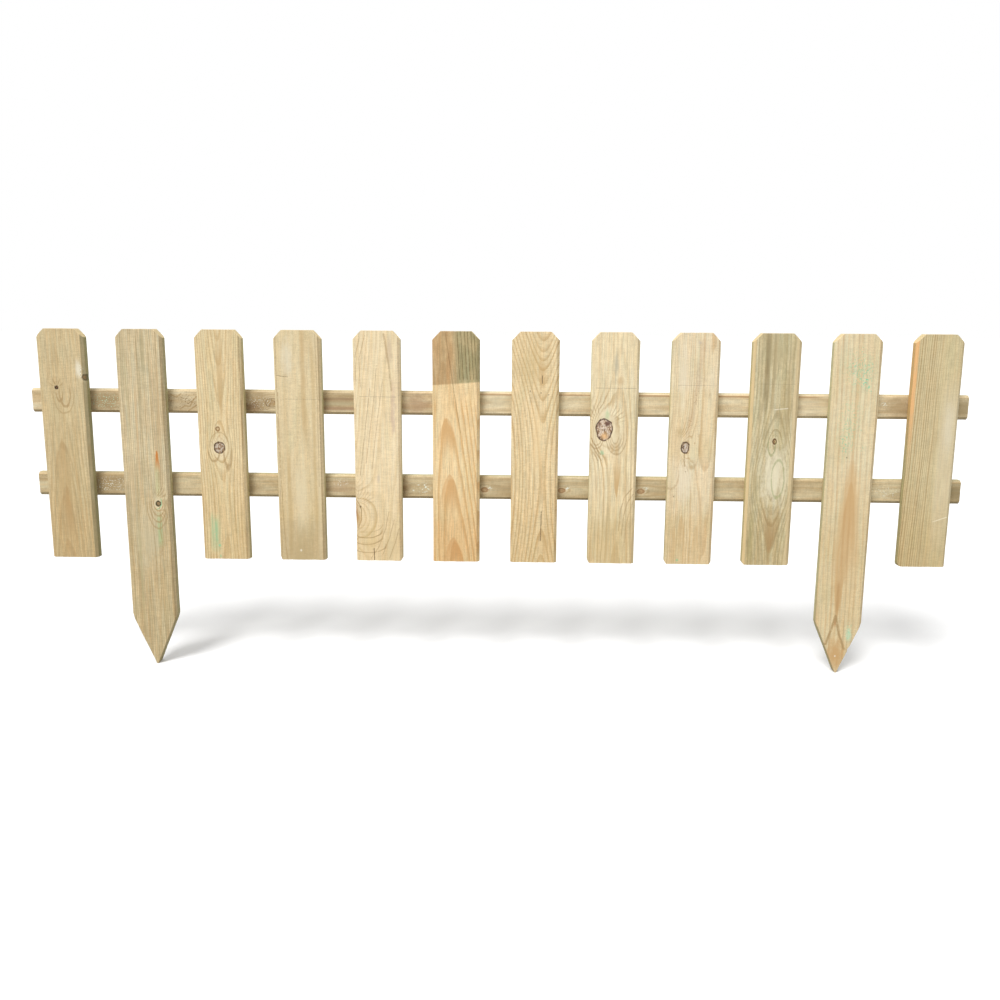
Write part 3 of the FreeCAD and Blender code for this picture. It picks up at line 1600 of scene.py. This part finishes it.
def left_boards() -> dict[str, BoardLook]:
    """The look of the six boards on the left, in order.

    Returns:
        Each board's look by the name of its node in the frame.
    """
    looks = {}
    looks["picket_01"] = BoardLook(
        Grain(-5.6, 31.6, lean_depth=0.04, ring=2.2, contrast=0.45, wobble=2.2, ripple=0.9, spread=0.4,
              seed=1, shows=(*LOWEST, 130, 175)),
        Tone(tint(212, 192, 152), tint(178, 148, 104), tint(200, 176, 132), patch=tint(200, 184, 138)),
        marks=(
            Stain(20, 226, 5, 15, tint(238, 229, 205), 0.85, ragged=0.5),
            Stain(23, 224, 4, 11, tint(250, 246, 234), 1, speckle=1.4),
            Loop(0.5, 196, 12.5, 22, 0.5),
            Stain(0, 120, 30, 80, tint(190, 166, 118), 0.28),
            Flame(-5.6, 142, 160, 14, tint(192, 160, 112), 0.45, soft=4),
            Flame(-4, 88, 110, 9, tint(188, 152, 102), 0.5, soft=2.5),
            Loop(-5, 10, 17, 126, 0.3, low=0, high=1.3),
            Loop(-4.5, 0, 8, 84, 0.35, low=0, high=1.3),
            Knot(-7, 204, 1.7, 1.6, swirl=9, reach=1.8, pale=tint(120, 86, 58), patch=tint(64, 50, 36),
                 warm=tint(172, 96, 58), rim=tint(70, 54, 38), halo=0.2, seed=1),
            Knot(26.5, 216, 2.4, 3.2, swirl=10, pale=tint(160, 116, 76), warm=tint(176, 120, 74), seed=2),
            vein(0.7, 0.6, (-11, 214), (-8, 207.5)),
            vein(0.7, 0.6, (-6.5, 216), (-6.8, 207.5)),
            vein(0.7, 0.55, (-2, 213), (-5.5, 207)),
            Loop(2.3, 198, 6.5, 16, 0.75, high=0.3, thick=0.9),
            Loop(-4, 198, 4, 10, 0.7, thick=0.8),
            Fan(-7, 204, 4, 9, 0, 1.3, 0.5, count=9),
            # Painted shade: a dark olive band down the right chamfer and side, which face away from the lamp.
            Band((23.6, 24.8, 30, 31), (-5, -4, 280, 281), tint(150, 146, 112), 0.45)),
        nicks=(Nick(1, 216, 4, 0.8),))
    looks["stake_left"] = BoardLook(
        Grain(84, 24, ring=2.2, contrast=0.5, wobble=6, seed=2),
        Tone(tint(219, 203, 168), tint(177, 152, 113), tint(191, 171, 133), streaks=0.75, saw=0.2,
             patch=tint(196, 182, 144), patches=0.45, hues=1, cloud=0.05, right_arris_shade=0.4),
        marks=(
            strip(2, 6.5, 215, 275, tint(164, 154, 118), 0.55),
            strip(-18, -15.5, 120, 260, tint(180, 170, 130), 0.4),
            strip(-8, -6, 40, 230, tint(216, 180, 134), 0.45),
            strip(18, 20.5, 90, 250, tint(214, 180, 134), 0.4),
            Stain(13, 66, 10, 15, tint(232, 220, 182), 0.7),
            Stain(0, 24, 26, 60, tint(214, 204, 172), 0.45),
            strip(11, 15.5, 72, 124, tint(196, 204, 156), 0.5, soft=3),
            strip(10.5, 15.5, 10, 60, tint(168, 200, 146), 0.5, soft=3),
            strip(-14, -11, -110, 60, tint(186, 176, 134), 0.45),
            Stain(-16, 90, 5, 60, tint(198, 176, 138), 0.4),
            Knot(12.6, 67, 2.7, 2.9, swirl=26, reach=1.5, pale=tint(170, 140, 102), patch=tint(92, 84, 58),
                 warm=tint(176, 140, 96), rim=tint(84, 74, 50), seed=4),
            Stroke(((16, 73), (16.5, 66), (14, 61), (10, 60)), 0.8, tint(120, 190, 140), 0.7),
            Loop(12.6, 67, 5.6, 9, 0.6, high=0.6, colour=tint(180, 138, 92)),
            Loop(12.2, 66, 7.6, 14, 0.65, high=0.5),
            Loop(11.8, 65, 9.8, 20, 0.65, high=0.3),
            Loop(11.4, 64, 12.4, 27, 0.55, high=0.2),
            vein(0.7, 0.7, (13.6, 64), (14.5, 52), (13, 36), (14.6, 20), (13.5, 4)),
            Flame(14.3, 131, 30, 3.6, tint(202, 134, 72), 1, soft=0.8),
            Stroke(((14, 129), (14.2, 119)), 0.8, tint(206, 132, 66), 0.7, wander=0.2),
            vein(0.7, 0.6, (14.4, 104), (14, 90), (13.4, 76)),
            vein(0.7, 0.55, (4, 66), (6, 10), (6.5, -50)),
            vein(0.7, 0.5, (12, 20), (10, -40), (6, -96))))
    looks["picket_03"] = BoardLook(
        Grain(0.5, 17, bow=-2.2, bow_at=62, ring=2.5, contrast=0.58, wobble=2.5, spread=0.7, seed=3),
        Tone(tint(232, 212, 171), tint(192, 160, 110), tint(220, 194, 148), right_arris_shade=0.4),
        marks=(
            Flame(1.5, 168, 150, 6.5, tint(200, 168, 118), 0.6, points_up=False, soft=3),
            strip(-18, -7, 4, 60, tint(176, 208, 164), 0.36, soft=5),
            strip(-12.5, -9.5, 16, 52, tint(150, 200, 152), 0.5),
            strip(-16.5, -15, 20, 60, tint(160, 200, 152), 0.4, soft=1.4),
            specks(-12, 34, 5, 16, 0.8, 1.2),
            Stain(-8, 17, 2, 2.6, tint(132, 204, 158), 0.85, ragged=0.4),
            Stain(-7.5, 4, 1.6, 3, tint(140, 204, 160), 0.6, ragged=0.5),
            Stain(-3, 135, 14, 17, tint(240, 224, 190), 0.55),
            Knot(-2.6, 135, 6.2, 6.6, swirl=16, reach=0.8, pale=tint(204, 190, 172), seed=8),
            Loop(6.6, 134, 4.6, 23, 0.7, high=0, thick=1.1),
            Loop(-9.6, 131, 6.6, 12, 0.7, high=0, thick=1),
            Loop(-2.8, 136, 11.5, 17, 0.45, low=-0.6, high=1.3),
            Fan(-2.6, 135, 8, 12, 0.1, 1.2, 0.35, count=16),
            Knot(-4, 157, 2, 2.3, swirl=5, pale=tint(218, 194, 150), patch=tint(182, 148, 106),
                 rim=tint(156, 124, 84), halo=0.2, seed=9)))
    looks["picket_04"] = BoardLook(
        Grain(5, 58, lean_depth=0.022, ring=4, contrast=0.22, seed=4),
        Tone(tint(228, 209, 170), tint(198, 172, 124), tint(214, 190, 146), saw=0.14, row=1.5, fibre=0.45,
             hues=0.5, left_arris_shade=0.45, right_arris_shade=0.5),
        marks=(
            Stain(-12, 240, 9, 34, tint(236, 228, 204), 0.5),
            strip(4, 9, 130, 300, tint(202, 172, 124), 0.6, soft=4),
            strip(16, 20, -20, 290, tint(200, 172, 122), 0.5, soft=4),
            strip(-16, -11, -20, 150, tint(196, 168, 118), 0.6, soft=4),
            Stain(0, 74, 12, 66, tint(234, 220, 186), 0.45),
            Stain(0, 8, 28, 46, tint(196, 172, 126), 0.7),
            wash(-30, 56, tint(245, 246, 249)),
            strip(20, 24, -5, 120, tint(222, 204, 166), 0.5, soft=4),
            vein(0.8, 0.6, (-23.6, 200), (-23.2, 100), (-21.5, 40), (-19, -2)),
            vein(0.8, 0.45, (21.5, 270), (22.5, 180), (22, 90)),
            Stroke(((-23.5, 219.8), (-17, 218.6), (-11.5, 218.4)), 0.6, CRACK, 0.55, wander=0.5, depth=0.3),
            pencil(192.6, -15, 25, 0.25),
            speck(-2, 12, BARE_PALE, 1.8)),
        nicks=(Nick(-1, 0, 4, 3),))
    looks["picket_05"] = BoardLook(
        Grain(-4, 42, lean_across=0.12, lean_depth=-0.012, ring=3.2, contrast=0.38, stirred=0.6, wobble=4,
              seed=5),
        Tone(tint(244, 224, 187), tint(208, 180, 130), tint(232, 208, 164), patches=0.1, hues=0.6, fibre=0.6),
        marks=(
            Swell(-35, 54, 24, 30, 30),
            Stain(-12, 26, 14, 24, tint(214, 190, 138), 0.5),
            Stain(14, 20, 14, 26, tint(220, 198, 152), 0.4),
            Stain(-26.5, 55, 4.5, 17, tint(170, 122, 76), 0.85),
            vein(0.9, 0.8, (-27, 74), (-23, 69), (-20.5, 62), (-21, 50), (-25, 40)),
            Stain(18.8, 180, 5, 40, tint(206, 180, 160), 0.6, ragged=1.1),
            Stain(15, 250, 5, 20, tint(206, 182, 152), 0.6, ragged=1),
            Stain(0, 100, 3, 9, tint(188, 174, 160), 0.5),
            speck(-21.5, 66, tint(100, 78, 50), 1.7),
            Loop(-15, 44, 19, 9, 0.5),
            Loop(-15, 38, 19, 10, 0.7, high=-0.1, thick=1.4),
            Loop(-16, 30, 20, 10, 0.65, high=-0.1, thick=1.4),
            Loop(-13, 19, 21, 9, 0.65, thick=1.4),
            Stain(-24, 50, 5, 14, tint(206, 170, 116), 0.6),
            Fan(-30, 66, 10, 26, 0.2, 1.4, 0.3, count=38),
            vein(0.8, 0.5, (12, 60), (8, 40), (0, 18), (-10, 3)),
            vein(0.8, 0.5, (18, 50), (13, 30), (4, 8)),
            vein(0.8, 0.5, (24, 40), (19, 22), (12, 3)),
            Stroke(((9, 268), (12, 250), (15, 228), (17, 204)), 1.6, VEIN, 0.5, wander=1.6),
            vein(0.7, 0.5, (0, 232), (-4, 190), (-14, 118)),
            vein(0.7, 0.5, (7, 216), (1, 176), (-7, 112)),
            vein(0.8, 0.55, (-8, 206), (-14, 160), (-21, 104)),
            vein(0.7, 0.5, (-13, 266), (-20, 240), (-19, 208)),
            vein(0.7, 0.45, (-19, 264), (-25, 240), (-24, 214)),
            crack((-6, 0), (-6.4, 15), depth=0.6),
            pencil(196.3, -20, 22, 0.3)),
        nicks=(Nick(1, 0, 3, 2.4), Nick(-1, 42, 16, 0.9)))
    looks["picket_06"] = BoardLook(
        Grain(1, 31.2, lean_across=-0.075, lean_depth=0.042, ring=2.95, contrast=0.72, wobble=1.6, ripple=0.8,
              spread=0.15, seed=6, shows=(*LOWEST, 180, 200)),
        Tone(tint(243, 216, 170), tint(212, 168, 110), tint(232, 198, 148), saw=0.12, row=1.4),
        marks=(
            Flame(-10.5, 172, 50, 16, tint(214, 168, 112), 0.5),
            Flame(-7.5, 106, 58, 17, tint(212, 164, 108), 0.5),
            Flame(-3.5, 30, 50, 16, tint(208, 160, 104), 0.5),
            wash(-30, 60, tint(251, 246, 242)),
            vein(0.8, 0.6, (-12.5, 272), (-3, 208), (5, 155)),
            *[vein(0.7, 0.8, (left, 276), (left + 3.5, 217)) for left in (1, 5, 9.5, 13, 17, 20.5)],
            # A darker top above a sharp, slightly sloping line.
            Band((-40, -39, -8, 6), (211, 213, 300, 301), tint(209, 197, 186), 1,
                 tilt=0.075, as_filter=True),
            Band((-8, 6, 39, 40), (211, 213, 300, 301), tint(179, 190, 184), 1,
                 tilt=0.075, as_filter=True)))
    return looks


def right_boards() -> dict[str, BoardLook]:
    """The look of the six boards on the right, in order.

    Returns:
        Each board's look by the name of its node in the frame.
    """
    looks = {}
    looks["picket_07"] = BoardLook(
        Grain(9, 10, ring=3.8, contrast=0.62, stirred=0.7, wobble=2.5, spread=0.8, seed=7),
        Tone(tint(238, 216, 175), tint(198, 164, 112), tint(226, 198, 150), saw=0.22),
        marks=(
            Swell(9, 330, 400, 110, 40),
            Swell(9, -60, 400, 90, 14),
            Stain(-4, 236, 30, 40, tint(206, 180, 130), 0.35),
            Stain(8, 222, 7, 22, tint(204, 166, 112), 0.5),
            strip(-2, 8, 100, 190, tint(244, 214, 164), 0.5, soft=6),
            Stain(14, 24, 10, 30, tint(206, 174, 124), 0.5),
            speck(-6, 204),
            speck(6.5, 202),
            speck(15.5, 200),
            crack((8, 222), (8.2, 213)),
            crack((9, 62), (8.6, 45), (8, 27))))
    looks["picket_08"] = BoardLook(
        Grain(6, 19, lean_depth=0.03, ring=3.2, contrast=0.55, wobble=3, seed=8,
              shows=(*LOWEST, 180, 230)),
        Tone(tint(240, 223, 187), tint(194, 164, 116), tint(222, 198, 154), saw=0.12),
        marks=(
            Stain(0, 20, 30, 56, tint(206, 180, 130), 0.35),
            wash(-30, 60, tint(249, 248, 244)),
            Stain(0.5, 234, 5, 20, tint(186, 180, 158), 0.6),
            Stain(6, 216, 6, 7.5, tint(204, 174, 128), 0.6),
            Stain(-9, 176, 14, 16, tint(243, 233, 204), 0.75),
            Stain(-5, 150, 24, 22, tint(241, 229, 196), 0.5),
            Flame(4.6, 80, 60, 5.6, tint(204, 168, 116), 0.8, points_up=False, soft=1.4),
            Stain(-8, 177, 4.5, 8, tint(160, 204, 150), 0.6),
            Stain(-14, 133, 4, 4, tint(150, 204, 160), 0.55),
            Knot(-11.5, 160, 9.4, 12.4, swirl=24, reach=0.85, pale=tint(226, 206, 184), rim=tint(84, 62, 50),
                 seed=24),
            Stain(-7, 167, 4.4, 5, tint(110, 82, 72), 0.95),
            Stain(-17, 165, 2.4, 5.5, tint(134, 106, 92), 0.8),
            Stain(-11, 152.5, 6, 6, tint(240, 194, 140), 0.95),
            Stroke(((-12, 165), (-12.6, 157)), 0.6, tint(250, 240, 220), 0.8, wander=0.3),
            Fan(-11.5, 166, 14, 26, 0.35, 1.35, 0.45, count=32),
            vein(0.9, 0.7, (-26, 150), (-21, 140), (-15, 131)),
            vein(0.9, 0.65, (-26, 143), (-20, 133), (-14, 124)),
            vein(0.8, 0.6, (-24, 134), (-18, 124)),
            vein(0.9, 0.55, (23, 91), (14, 80), (10, 64), (8.5, 40)),
            vein(0.9, 0.5, (24.5, 84), (18, 74), (14, 58), (12, 34)),
            vein(0.9, 0.4, (25, 76), (21, 64), (17.5, 48), (16, 26)),
            Loop(1.5, 151, 4, 7, 0.45),
            Loop(2, 152, 6.5, 12, 0.45),
            Loop(2.5, 153, 9, 17, 0.45, high=0.3),
            Loop(3, 154, 12, 23, 0.5, high=0.4),
            Loop(-20, 149, 5, 7, 0.55),
            Loop(-20.5, 150, 8, 12, 0.6),
            pencil(208.3, -22, 24, 0.35)),
        nicks=(Nick(-1, 0, 3.5, 2.5),))
    looks["picket_09"] = BoardLook(
        Grain(14, 33, lean_across=0.02, lean_depth=-0.014, ring=1.6, contrast=0.5, wobble=4, seed=9),
        Tone(tint(238, 221, 188), tint(200, 168, 122), tint(228, 204, 166), streaks=0.3, fibre=0.7),
        marks=(
            Stain(-14, 220, 9, 50, tint(244, 232, 206), 0.5),
            Stroke(((8, 262), (4, 226), (0, 192), (-6, 162), (-8, 149)), 4,
                   tint(196, 166, 134), 0.32, wander=4),
            Stain(2, 206, 5, 34, tint(150, 118, 86), 0.5, speckle=1.2),
            Stain(-5, 168, 5, 16, tint(150, 118, 86), 0.5, speckle=1.2),
            Stain(3, 261, 4, 4, tint(190, 176, 166), 0.55),
            strip(-21, -17, -4, 50, tint(206, 170, 122), 0.4, soft=4),
            Stain(-9, 98, 14, 34, tint(238, 225, 198), 0.7),
            Stain(-15, 158, 7, 8, tint(196, 172, 128), 0.5),
            Flame(-10, 60, 60, 8, tint(206, 170, 118), 0.4),
            Flame(8, 48, 60, 7, tint(208, 172, 120), 0.4),
            wash(-30, 68, tint(251, 248, 241)),
            wash(120, 215, tint(251, 249, 242)),
            Stain(-13, 5, 2, 2.2, tint(140, 200, 148), 0.8, ragged=0.4),
            Knot(-9, 140, 4.6, 6.4, swirl=18, reach=1.1, pale=tint(218, 204, 190), patch=tint(104, 90, 76),
                 seed=29),
            vein(0.5, 0.8, (-12, 143), (-9, 145), (-6.5, 142), (-8.5, 138), (-11.5, 137)),
            vein(0.8, 0.8, (-9.5, 132), (-9.2, 124), (-8.4, 118)),
            Stain(-7, 113, 4, 4.5, tint(150, 122, 86), 0.6, speckle=1.6),
            Stain(-1, 117, 5, 4, tint(196, 168, 122), 0.5),
            Loop(-24, 108, 9, 17, 0.4, thick=1.1),
            Loop(1, 142, 7, 25, 0.3, low=-1.3, high=0.6, thick=1),
            speck(-20, 82),
            pencil(212.2, -20, 24, 0.24)),
        nicks=(Nick(-1, 0, 3, 2.2), Nick(1, 0, 3, 2.6)))
    looks["picket_10"] = BoardLook(
        Grain(3, 14, ring=3, contrast=0.6, stirred=0.65, wobble=4, seed=10),
        Tone(tint(213, 200, 164), tint(160, 140, 98), tint(190, 172, 130), streaks=0.6,
             patch=tint(196, 188, 148), patches=0.4, cloud=0.09),
        marks=(
            Swell(5, 102, 60, 52, 13),
            Stain(0, 250, 24, 34, tint(184, 168, 128), 0.5),
            strip(-13, -8.5, 175, 290, tint(140, 122, 86), 0.7, soft=3),
            Stain(14, 190, 8, 50, tint(176, 154, 108), 0.4),
            strip(-4, -1, 170, 280, tint(168, 148, 108), 0.5),
            strip(-18, -15, 60, 220, tint(180, 162, 120), 0.4),
            strip(13, 16, 60, 260, tint(186, 166, 126), 0.4),
            Stain(4, 108, 22, 56, tint(240, 231, 202), 0.72),
            strip(-22, -17, -5, 70, tint(164, 156, 108), 0.45, soft=4),
            Band((20, 22, 30, 31), (-6, -5, 290, 300), tint(222, 198, 154), 0.6),
            Band((-31, -30, -25, -24.2), (-6, -5, 290, 300), tint(232, 204, 154), 0.8),
            Knot(2.2, 148, 2, 2.8, swirl=9, reach=1.5, pale=tint(204, 178, 130), patch=tint(120, 88, 58),
                 rim=tint(110, 82, 54), seed=34),
            Flame(3, 14, 66, 11, tint(172, 140, 94), 0.75, points_up=False, soft=4),
            Loop(8.4, 104, 7.4, 22, 0.55, high=1.3, colour=tint(156, 162, 112), thick=0.8),
            Loop(-0.6, 147, 4.6, 15, 0.6, high=0.2, colour=tint(152, 156, 108)),
            vein(0.9, 0.5, (-6, 68), (1, 46), (5.5, 24)),
            vein(0.9, 0.5, (17, 68), (11, 46), (7, 24)),
            vein(0.7, 0.6, (7, 56), (6.4, 30)),
            Stroke(((0, 185), (15, 186.5)), 0.8, tint(238, 228, 204), 0.75, wander=0.3),
            pencil(214.4, -20, 22, 0.22)),
        nicks=(Nick(-1, 0, 3, 2.6), Nick(1, 0, 2.4, 1.6)))
    looks["stake_right"] = BoardLook(
        Grain(44, 22, lean_across=-0.02, ring=5, contrast=0.38, wobble=6, seed=11),
        Tone(tint(232, 216, 180), tint(184, 150, 108), tint(218, 194, 154), saw=0.14, row=1.4, fibre=0.4,
             right_arris_shade=0.4, hues=1, streaks=0.3),
        marks=(
            Flame(2, 128, 190, 20, tint(214, 180, 132), 0.75, soft=7),
            Flame(2.5, 102, 130, 13, tint(203, 164, 112), 0.62, soft=2.5),
            Flame(-3.5, -68, 120, 9, tint(200, 160, 108), 0.7, points_up=False, soft=2.5),
            strip(-5, -2, -64, -14, tint(180, 138, 88), 0.5),
            specks(8, 226, 16, 22, 1, 1.5),
            specks(-8, 150, 10, 30, 1, 1.5),
            strip(-4, -1.5, -20, 90, tint(190, 148, 98), 0.3),
            strip(2.5, 4.5, -30, 70, tint(192, 150, 100), 0.3),
            specks(14.5, 210, 5, 9, 0.9, 1.6),
            Stain(14.5, 212, 1.6, 3.4, MINT, 0.75, ragged=0.5),
            specks(2, 232, 24, 34, 0.9, 0.9),
            specks(-4, 168, 20, 44, 0.85, 0.9),
            specks(-7, 190, 4, 10, 0.8, 1.2),
            specks(12, 142, 4, 9, 0.8, 1.2),
            specks(12, -82, 6, 18, 1, 1.6),
            specks(12, -84, 5, 14, 0.9, 1.1, WHITE_SPECK),
            Stain(12.5, -84, 5, 13, tint(184, 220, 186), 0.6, ragged=0.6),
            Stain(-2, -110, 18, 26, tint(202, 162, 110), 0.85),
            Stain(-4.6, -70, 2.4, 8, tint(184, 138, 90), 0.8, ragged=0.3),
            speck(-5.2, 130),
            vein(2, 0.85, (-4.6, -62), (-9, -80), (-14.5, -97)),
            vein(2, 0.85, (-4.2, -62), (1, -84), (8, -103)),
            speck(-1.9, -112, BARE_PALE, 1.5)),
        nicks=(Nick(1, -103, 3, 1.6),))
    looks["picket_12"] = BoardLook(
        Grain(-64, 22, lean_across=0.025, ring=2.35, contrast=0.8, wobble=5, seed=12, clear=(-2, 6)),
        Tone(tint(213, 196, 155), tint(166, 137, 94), tint(202, 180, 138), streaks=0.3, fibre=0.7, hues=0.6),
        marks=(
            Band((3, 11, 26, 30), (-20, 100, 180, 235), tint(224, 211, 182), 0.4),
            Stain(17, 165, 9, 44, tint(232, 222, 198), 0.4),
            # The bright orange left side: partly the side's own colour, partly painted light from the lamp on
            # the left.
            Band((-31, -30, -25.2, -23.6), (110, 200, 290, 300), tint(244, 188, 128), 0.85),
            Stroke(((8.7, 55), (25.6, 61)), 0.8, tint(240, 228, 198), 0.8, wander=0.4)),
        nicks=(Nick(-1, 0, 3, 2.4),))
    return looks


def rail_looks() -> dict[str, BoardLook]:
    """The look of both rails.

    Returns:
        Each rail's look by the name of its node in the frame.
    """
    upper = [
        Stain(0, -50, 22, 36, RAIL_BROWN, 0.75, ragged=0.6, front_only=False),
        Stain(0, 130, 24, 30, RAIL_BROWN, 0.8, ragged=0.6),
        Stain(2, 230, 16, 44, RAIL_BROWN, 0.7, ragged=0.6),
        Stain(-4, 46, 12, 34, RAIL_BROWN, 0.5),
        Stain(0, 888, 20, 34, RAIL_BROWN, 0.65, ragged=0.6),
        Stain(0, 958, 20, 24, tint(150, 132, 96), 0.8, ragged=0.4, front_only=False),
        Swell(-1, 150, 8, 12, 9),
        Stain(-1, 151, 6, 9, tint(168, 134, 86), 0.7, ragged=1),
        Stain(-2, 150, 8, 12, tint(104, 78, 48), 0.85, speckle=1.5),
        Loop(-1, 150, 5, 8, 0.6, low=-1.3, high=1.3, colour=tint(120, 92, 58)),
        Stain(-6, 126, 10, 14, tint(124, 94, 64), 0.7),
        vein(0.9, 0.9, (-9, 40), (-5, 46), (-6, 52), (0, 55), (6, 60)),
        vein(0.9, 0.9, (-11, 50), (-7, 56), (-3, 62)),
        vein(0.9, 0.8, (8, 30), (5, 36), (9, 42)),
        Stain(3, 30, 6, 5, tint(118, 90, 60), 0.7, speckle=1.6),
        Stain(0, 48, 12, 26, tint(128, 98, 62), 0.8, speckle=1.3),
        strip(3, 5.5, 196, 264, tint(152, 120, 92), 0.7),
        strip(-3, 0.5, 196, 264, tint(196, 186, 150), 0.5),
        strip(-9, -5, 196, 264, tint(162, 126, 100), 0.6),
        Stain(0, 322, 20, 28, tint(170, 134, 102), 0.6),
        Stain(0, -46, 14, 40, tint(196, 222, 190), 1, speckle=1.3),
        specks(0, 134, 12, 24, 0.8, 1, WHITE_SPECK),
        specks(3, 868, 5, 7, 1, 1.6, WHITE_SPECK),
        Band((9.4, 10.4, 11.4, 12.4), (350, 380, 780, 800), tint(168, 116, 74), 0.6)]
    lower = [
        Stain(0, -52, 22, 40, RAIL_BROWN, 0.65, ragged=0.6, front_only=False),
        Stain(-2, 298, 16, 20, tint(132, 102, 66), 0.8, ragged=0.6),
        specks(0, 328, 12, 12, 1, 2.2, WHITE_SPECK),
        speck(-4, 316, WHITE_SPECK, 1.6),
        Stain(-4, 122, 8, 20, RAIL_BROWN, 0.5),
        Stain(0, 230, 12, 30, tint(176, 142, 112), 0.4),
        specks(4, 228, 6, 14, 0.8, 1.2, WHITE_SPECK),
        Stain(0, 425, 18, 60, RAIL_BROWN, 0.25),
        Stain(0, 600, 18, 60, RAIL_BROWN, 0.25),
        Stain(0, 958, 20, 24, tint(140, 122, 86), 0.8, ragged=0.4, front_only=False),
        specks(0, -46, 14, 40, 1, 1.3, WHITE_SPECK),
        specks(0, 874, 9, 26, 0.9, 1.4, WHITE_SPECK)]
    for along in (408, 500, 594):
        lower += [
            Knot(-2.5, along - 7, 2.6, 3.8, swirl=6, pale=tint(200, 172, 130), patch=tint(172, 134, 96),
                 warm=tint(186, 146, 106), rim=tint(170, 134, 96), seed=along / 31),
            specks(0, along - 1, 5, 6, 1, 1.6, WHITE_SPECK),
            speck(0.4, along - 0.5, WHITE_SPECK, 1.5)]
    # Shared rail settings; the two arris ones set the painted shade lines along the lower and upper arrises.
    worn = {"streaks": 0.5, "hues": 0.7, "fibre": 0.6, "patches": 0.45, "cloud": 0.07, "left_arris_shade": 0.35,
            "right_arris_shade": 0.4}
    upper_tone = Tone(tint(228, 212, 178), tint(184, 156, 114), tint(204, 180, 140),
                      patch=tint(196, 172, 132), **worn)
    lower_tone = Tone(tint(212, 196, 160), tint(170, 144, 102), tint(192, 168, 128),
                      patch=tint(184, 160, 120), **worn)
    upper_grain = Grain(4, 40, lean_depth=0.006, ring=2.2, contrast=0.35, seed=13)
    lower_grain = Grain(-3, 34, lean_depth=-0.006, ring=2, contrast=0.4, seed=14)
    return {
        "upper_rail": BoardLook(upper_grain, upper_tone, tuple(upper)),
        "lower_rail": BoardLook(lower_grain, lower_tone, tuple(lower)),
    }


@dataclass(frozen=True)
class Extent:
    """The box round a node of the frame, in millimetres."""

    low: tuple[float, float, float]
    high: tuple[float, float, float]

    @classmethod
    def of(cls, node: str) -> "Extent":
        """Reads a node's box from the frame."""
        low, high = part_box(node)
        return cls(tuple(part / MM for part in low), tuple(part / MM for part in high))

    def middle(self, axis: int) -> float:
        """The middle of the box along an axis."""
        return (self.low[axis] + self.high[axis]) / 2

    def size(self, axis: int) -> float:
        """The size of the box along an axis."""
        return self.high[axis] - self.low[axis]


@dataclass(frozen=True)
class FencePanel:
    """The whole panel: twelve boards, two rails and the nails that join them."""

    ear: float = 10.0
    point: float = 63.0
    nail_reach: float = 12.75
    nail_rise: float = 5.25

    def board(self, node: str, look: BoardLook) -> Timber:
        """One board.

        Args:
            node: its solid in the frame.
            look: what it looks like.

        Returns:
            The board, not built yet.
        """
        extent = Extent.of(node)
        shape = TimberShape(
            extent.size(0) / 2, extent.size(1), extent.low[2], extent.high[2], ear=self.ear,
            point=self.point if node.startswith("stake") else 0.0, nicks=look.nicks, seed=look.grain.seed)
        finish = TimberFinish(
            f"{node}_wood", Direction.UPRIGHT, extent.middle(0), extent.low[1],
            shape.half_width - shape.chamfer, look.grain, look.tone, look.marks)
        return Timber(f"{node}_timber", node, "board_wood", shape, finish)

    def rail(self, node: str, look: BoardLook) -> Timber:
        """One rail.

        Args:
            node: its solid in the frame.
            look: what it looks like.

        Returns:
            The rail, not built yet.
        """
        extent = Extent.of(node)
        shape = TimberShape(
            extent.size(2) / 2, extent.size(1), extent.low[0], extent.high[0], step=2.2, seed=look.grain.seed)
        finish = TimberFinish(
            f"{node}_wood", Direction.LYING, extent.middle(2), extent.low[1],
            shape.half_width - shape.chamfer, look.grain, look.tone, look.marks)
        return Timber(f"{node}_timber", node, "rail_wood", shape, finish)

    def nails(self, boards: list[str]) -> NailRows:
        """The nails: two on a diagonal at each crossing, leaning the other way on every second board.

        Args:
            boards: the boards' nodes from left to right.

        Returns:
            The nails, not built yet.
        """
        spots = []
        for place, node in enumerate(boards):
            middle = Extent.of(node).middle(0)
            lean = -1 if place % 2 else 1
            for rail in ("upper_rail", "lower_rail"):
                height = Extent.of(rail).middle(2)
                spots.append((middle - lean * self.nail_reach, height + self.nail_rise))
                spots.append((middle + lean * self.nail_reach, height - self.nail_rise))
        back = Extent.of("upper_rail").high[1]
        nodes = tuple(f"nails_{node}" for node in boards)
        return NailRows("nail_rows", nodes, tuple(spots), back)

    def build(self) -> None:
        """Builds every piece and reports each."""
        looks = {**left_boards(), **right_boards()}
        makers = [self.board(node, look) for node, look in looks.items()]
        makers += [self.rail(node, look) for node, look in rail_looks().items()]
        makers.append(self.nails(list(looks)))
        for maker in makers:
            piece = maker.build()
            log.info("%s: %d faces", piece.name, len(piece.data.polygons))


def main() -> None:
    """Builds the panel and the studio round it."""
    logging.basicConfig(level=logging.INFO, format="%(name)s: %(message)s")
    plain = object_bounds()
    FencePanel().build()
    Studio(plain[0].z - 0.1 * MM).build()


if __name__ == "__main__":
    main()
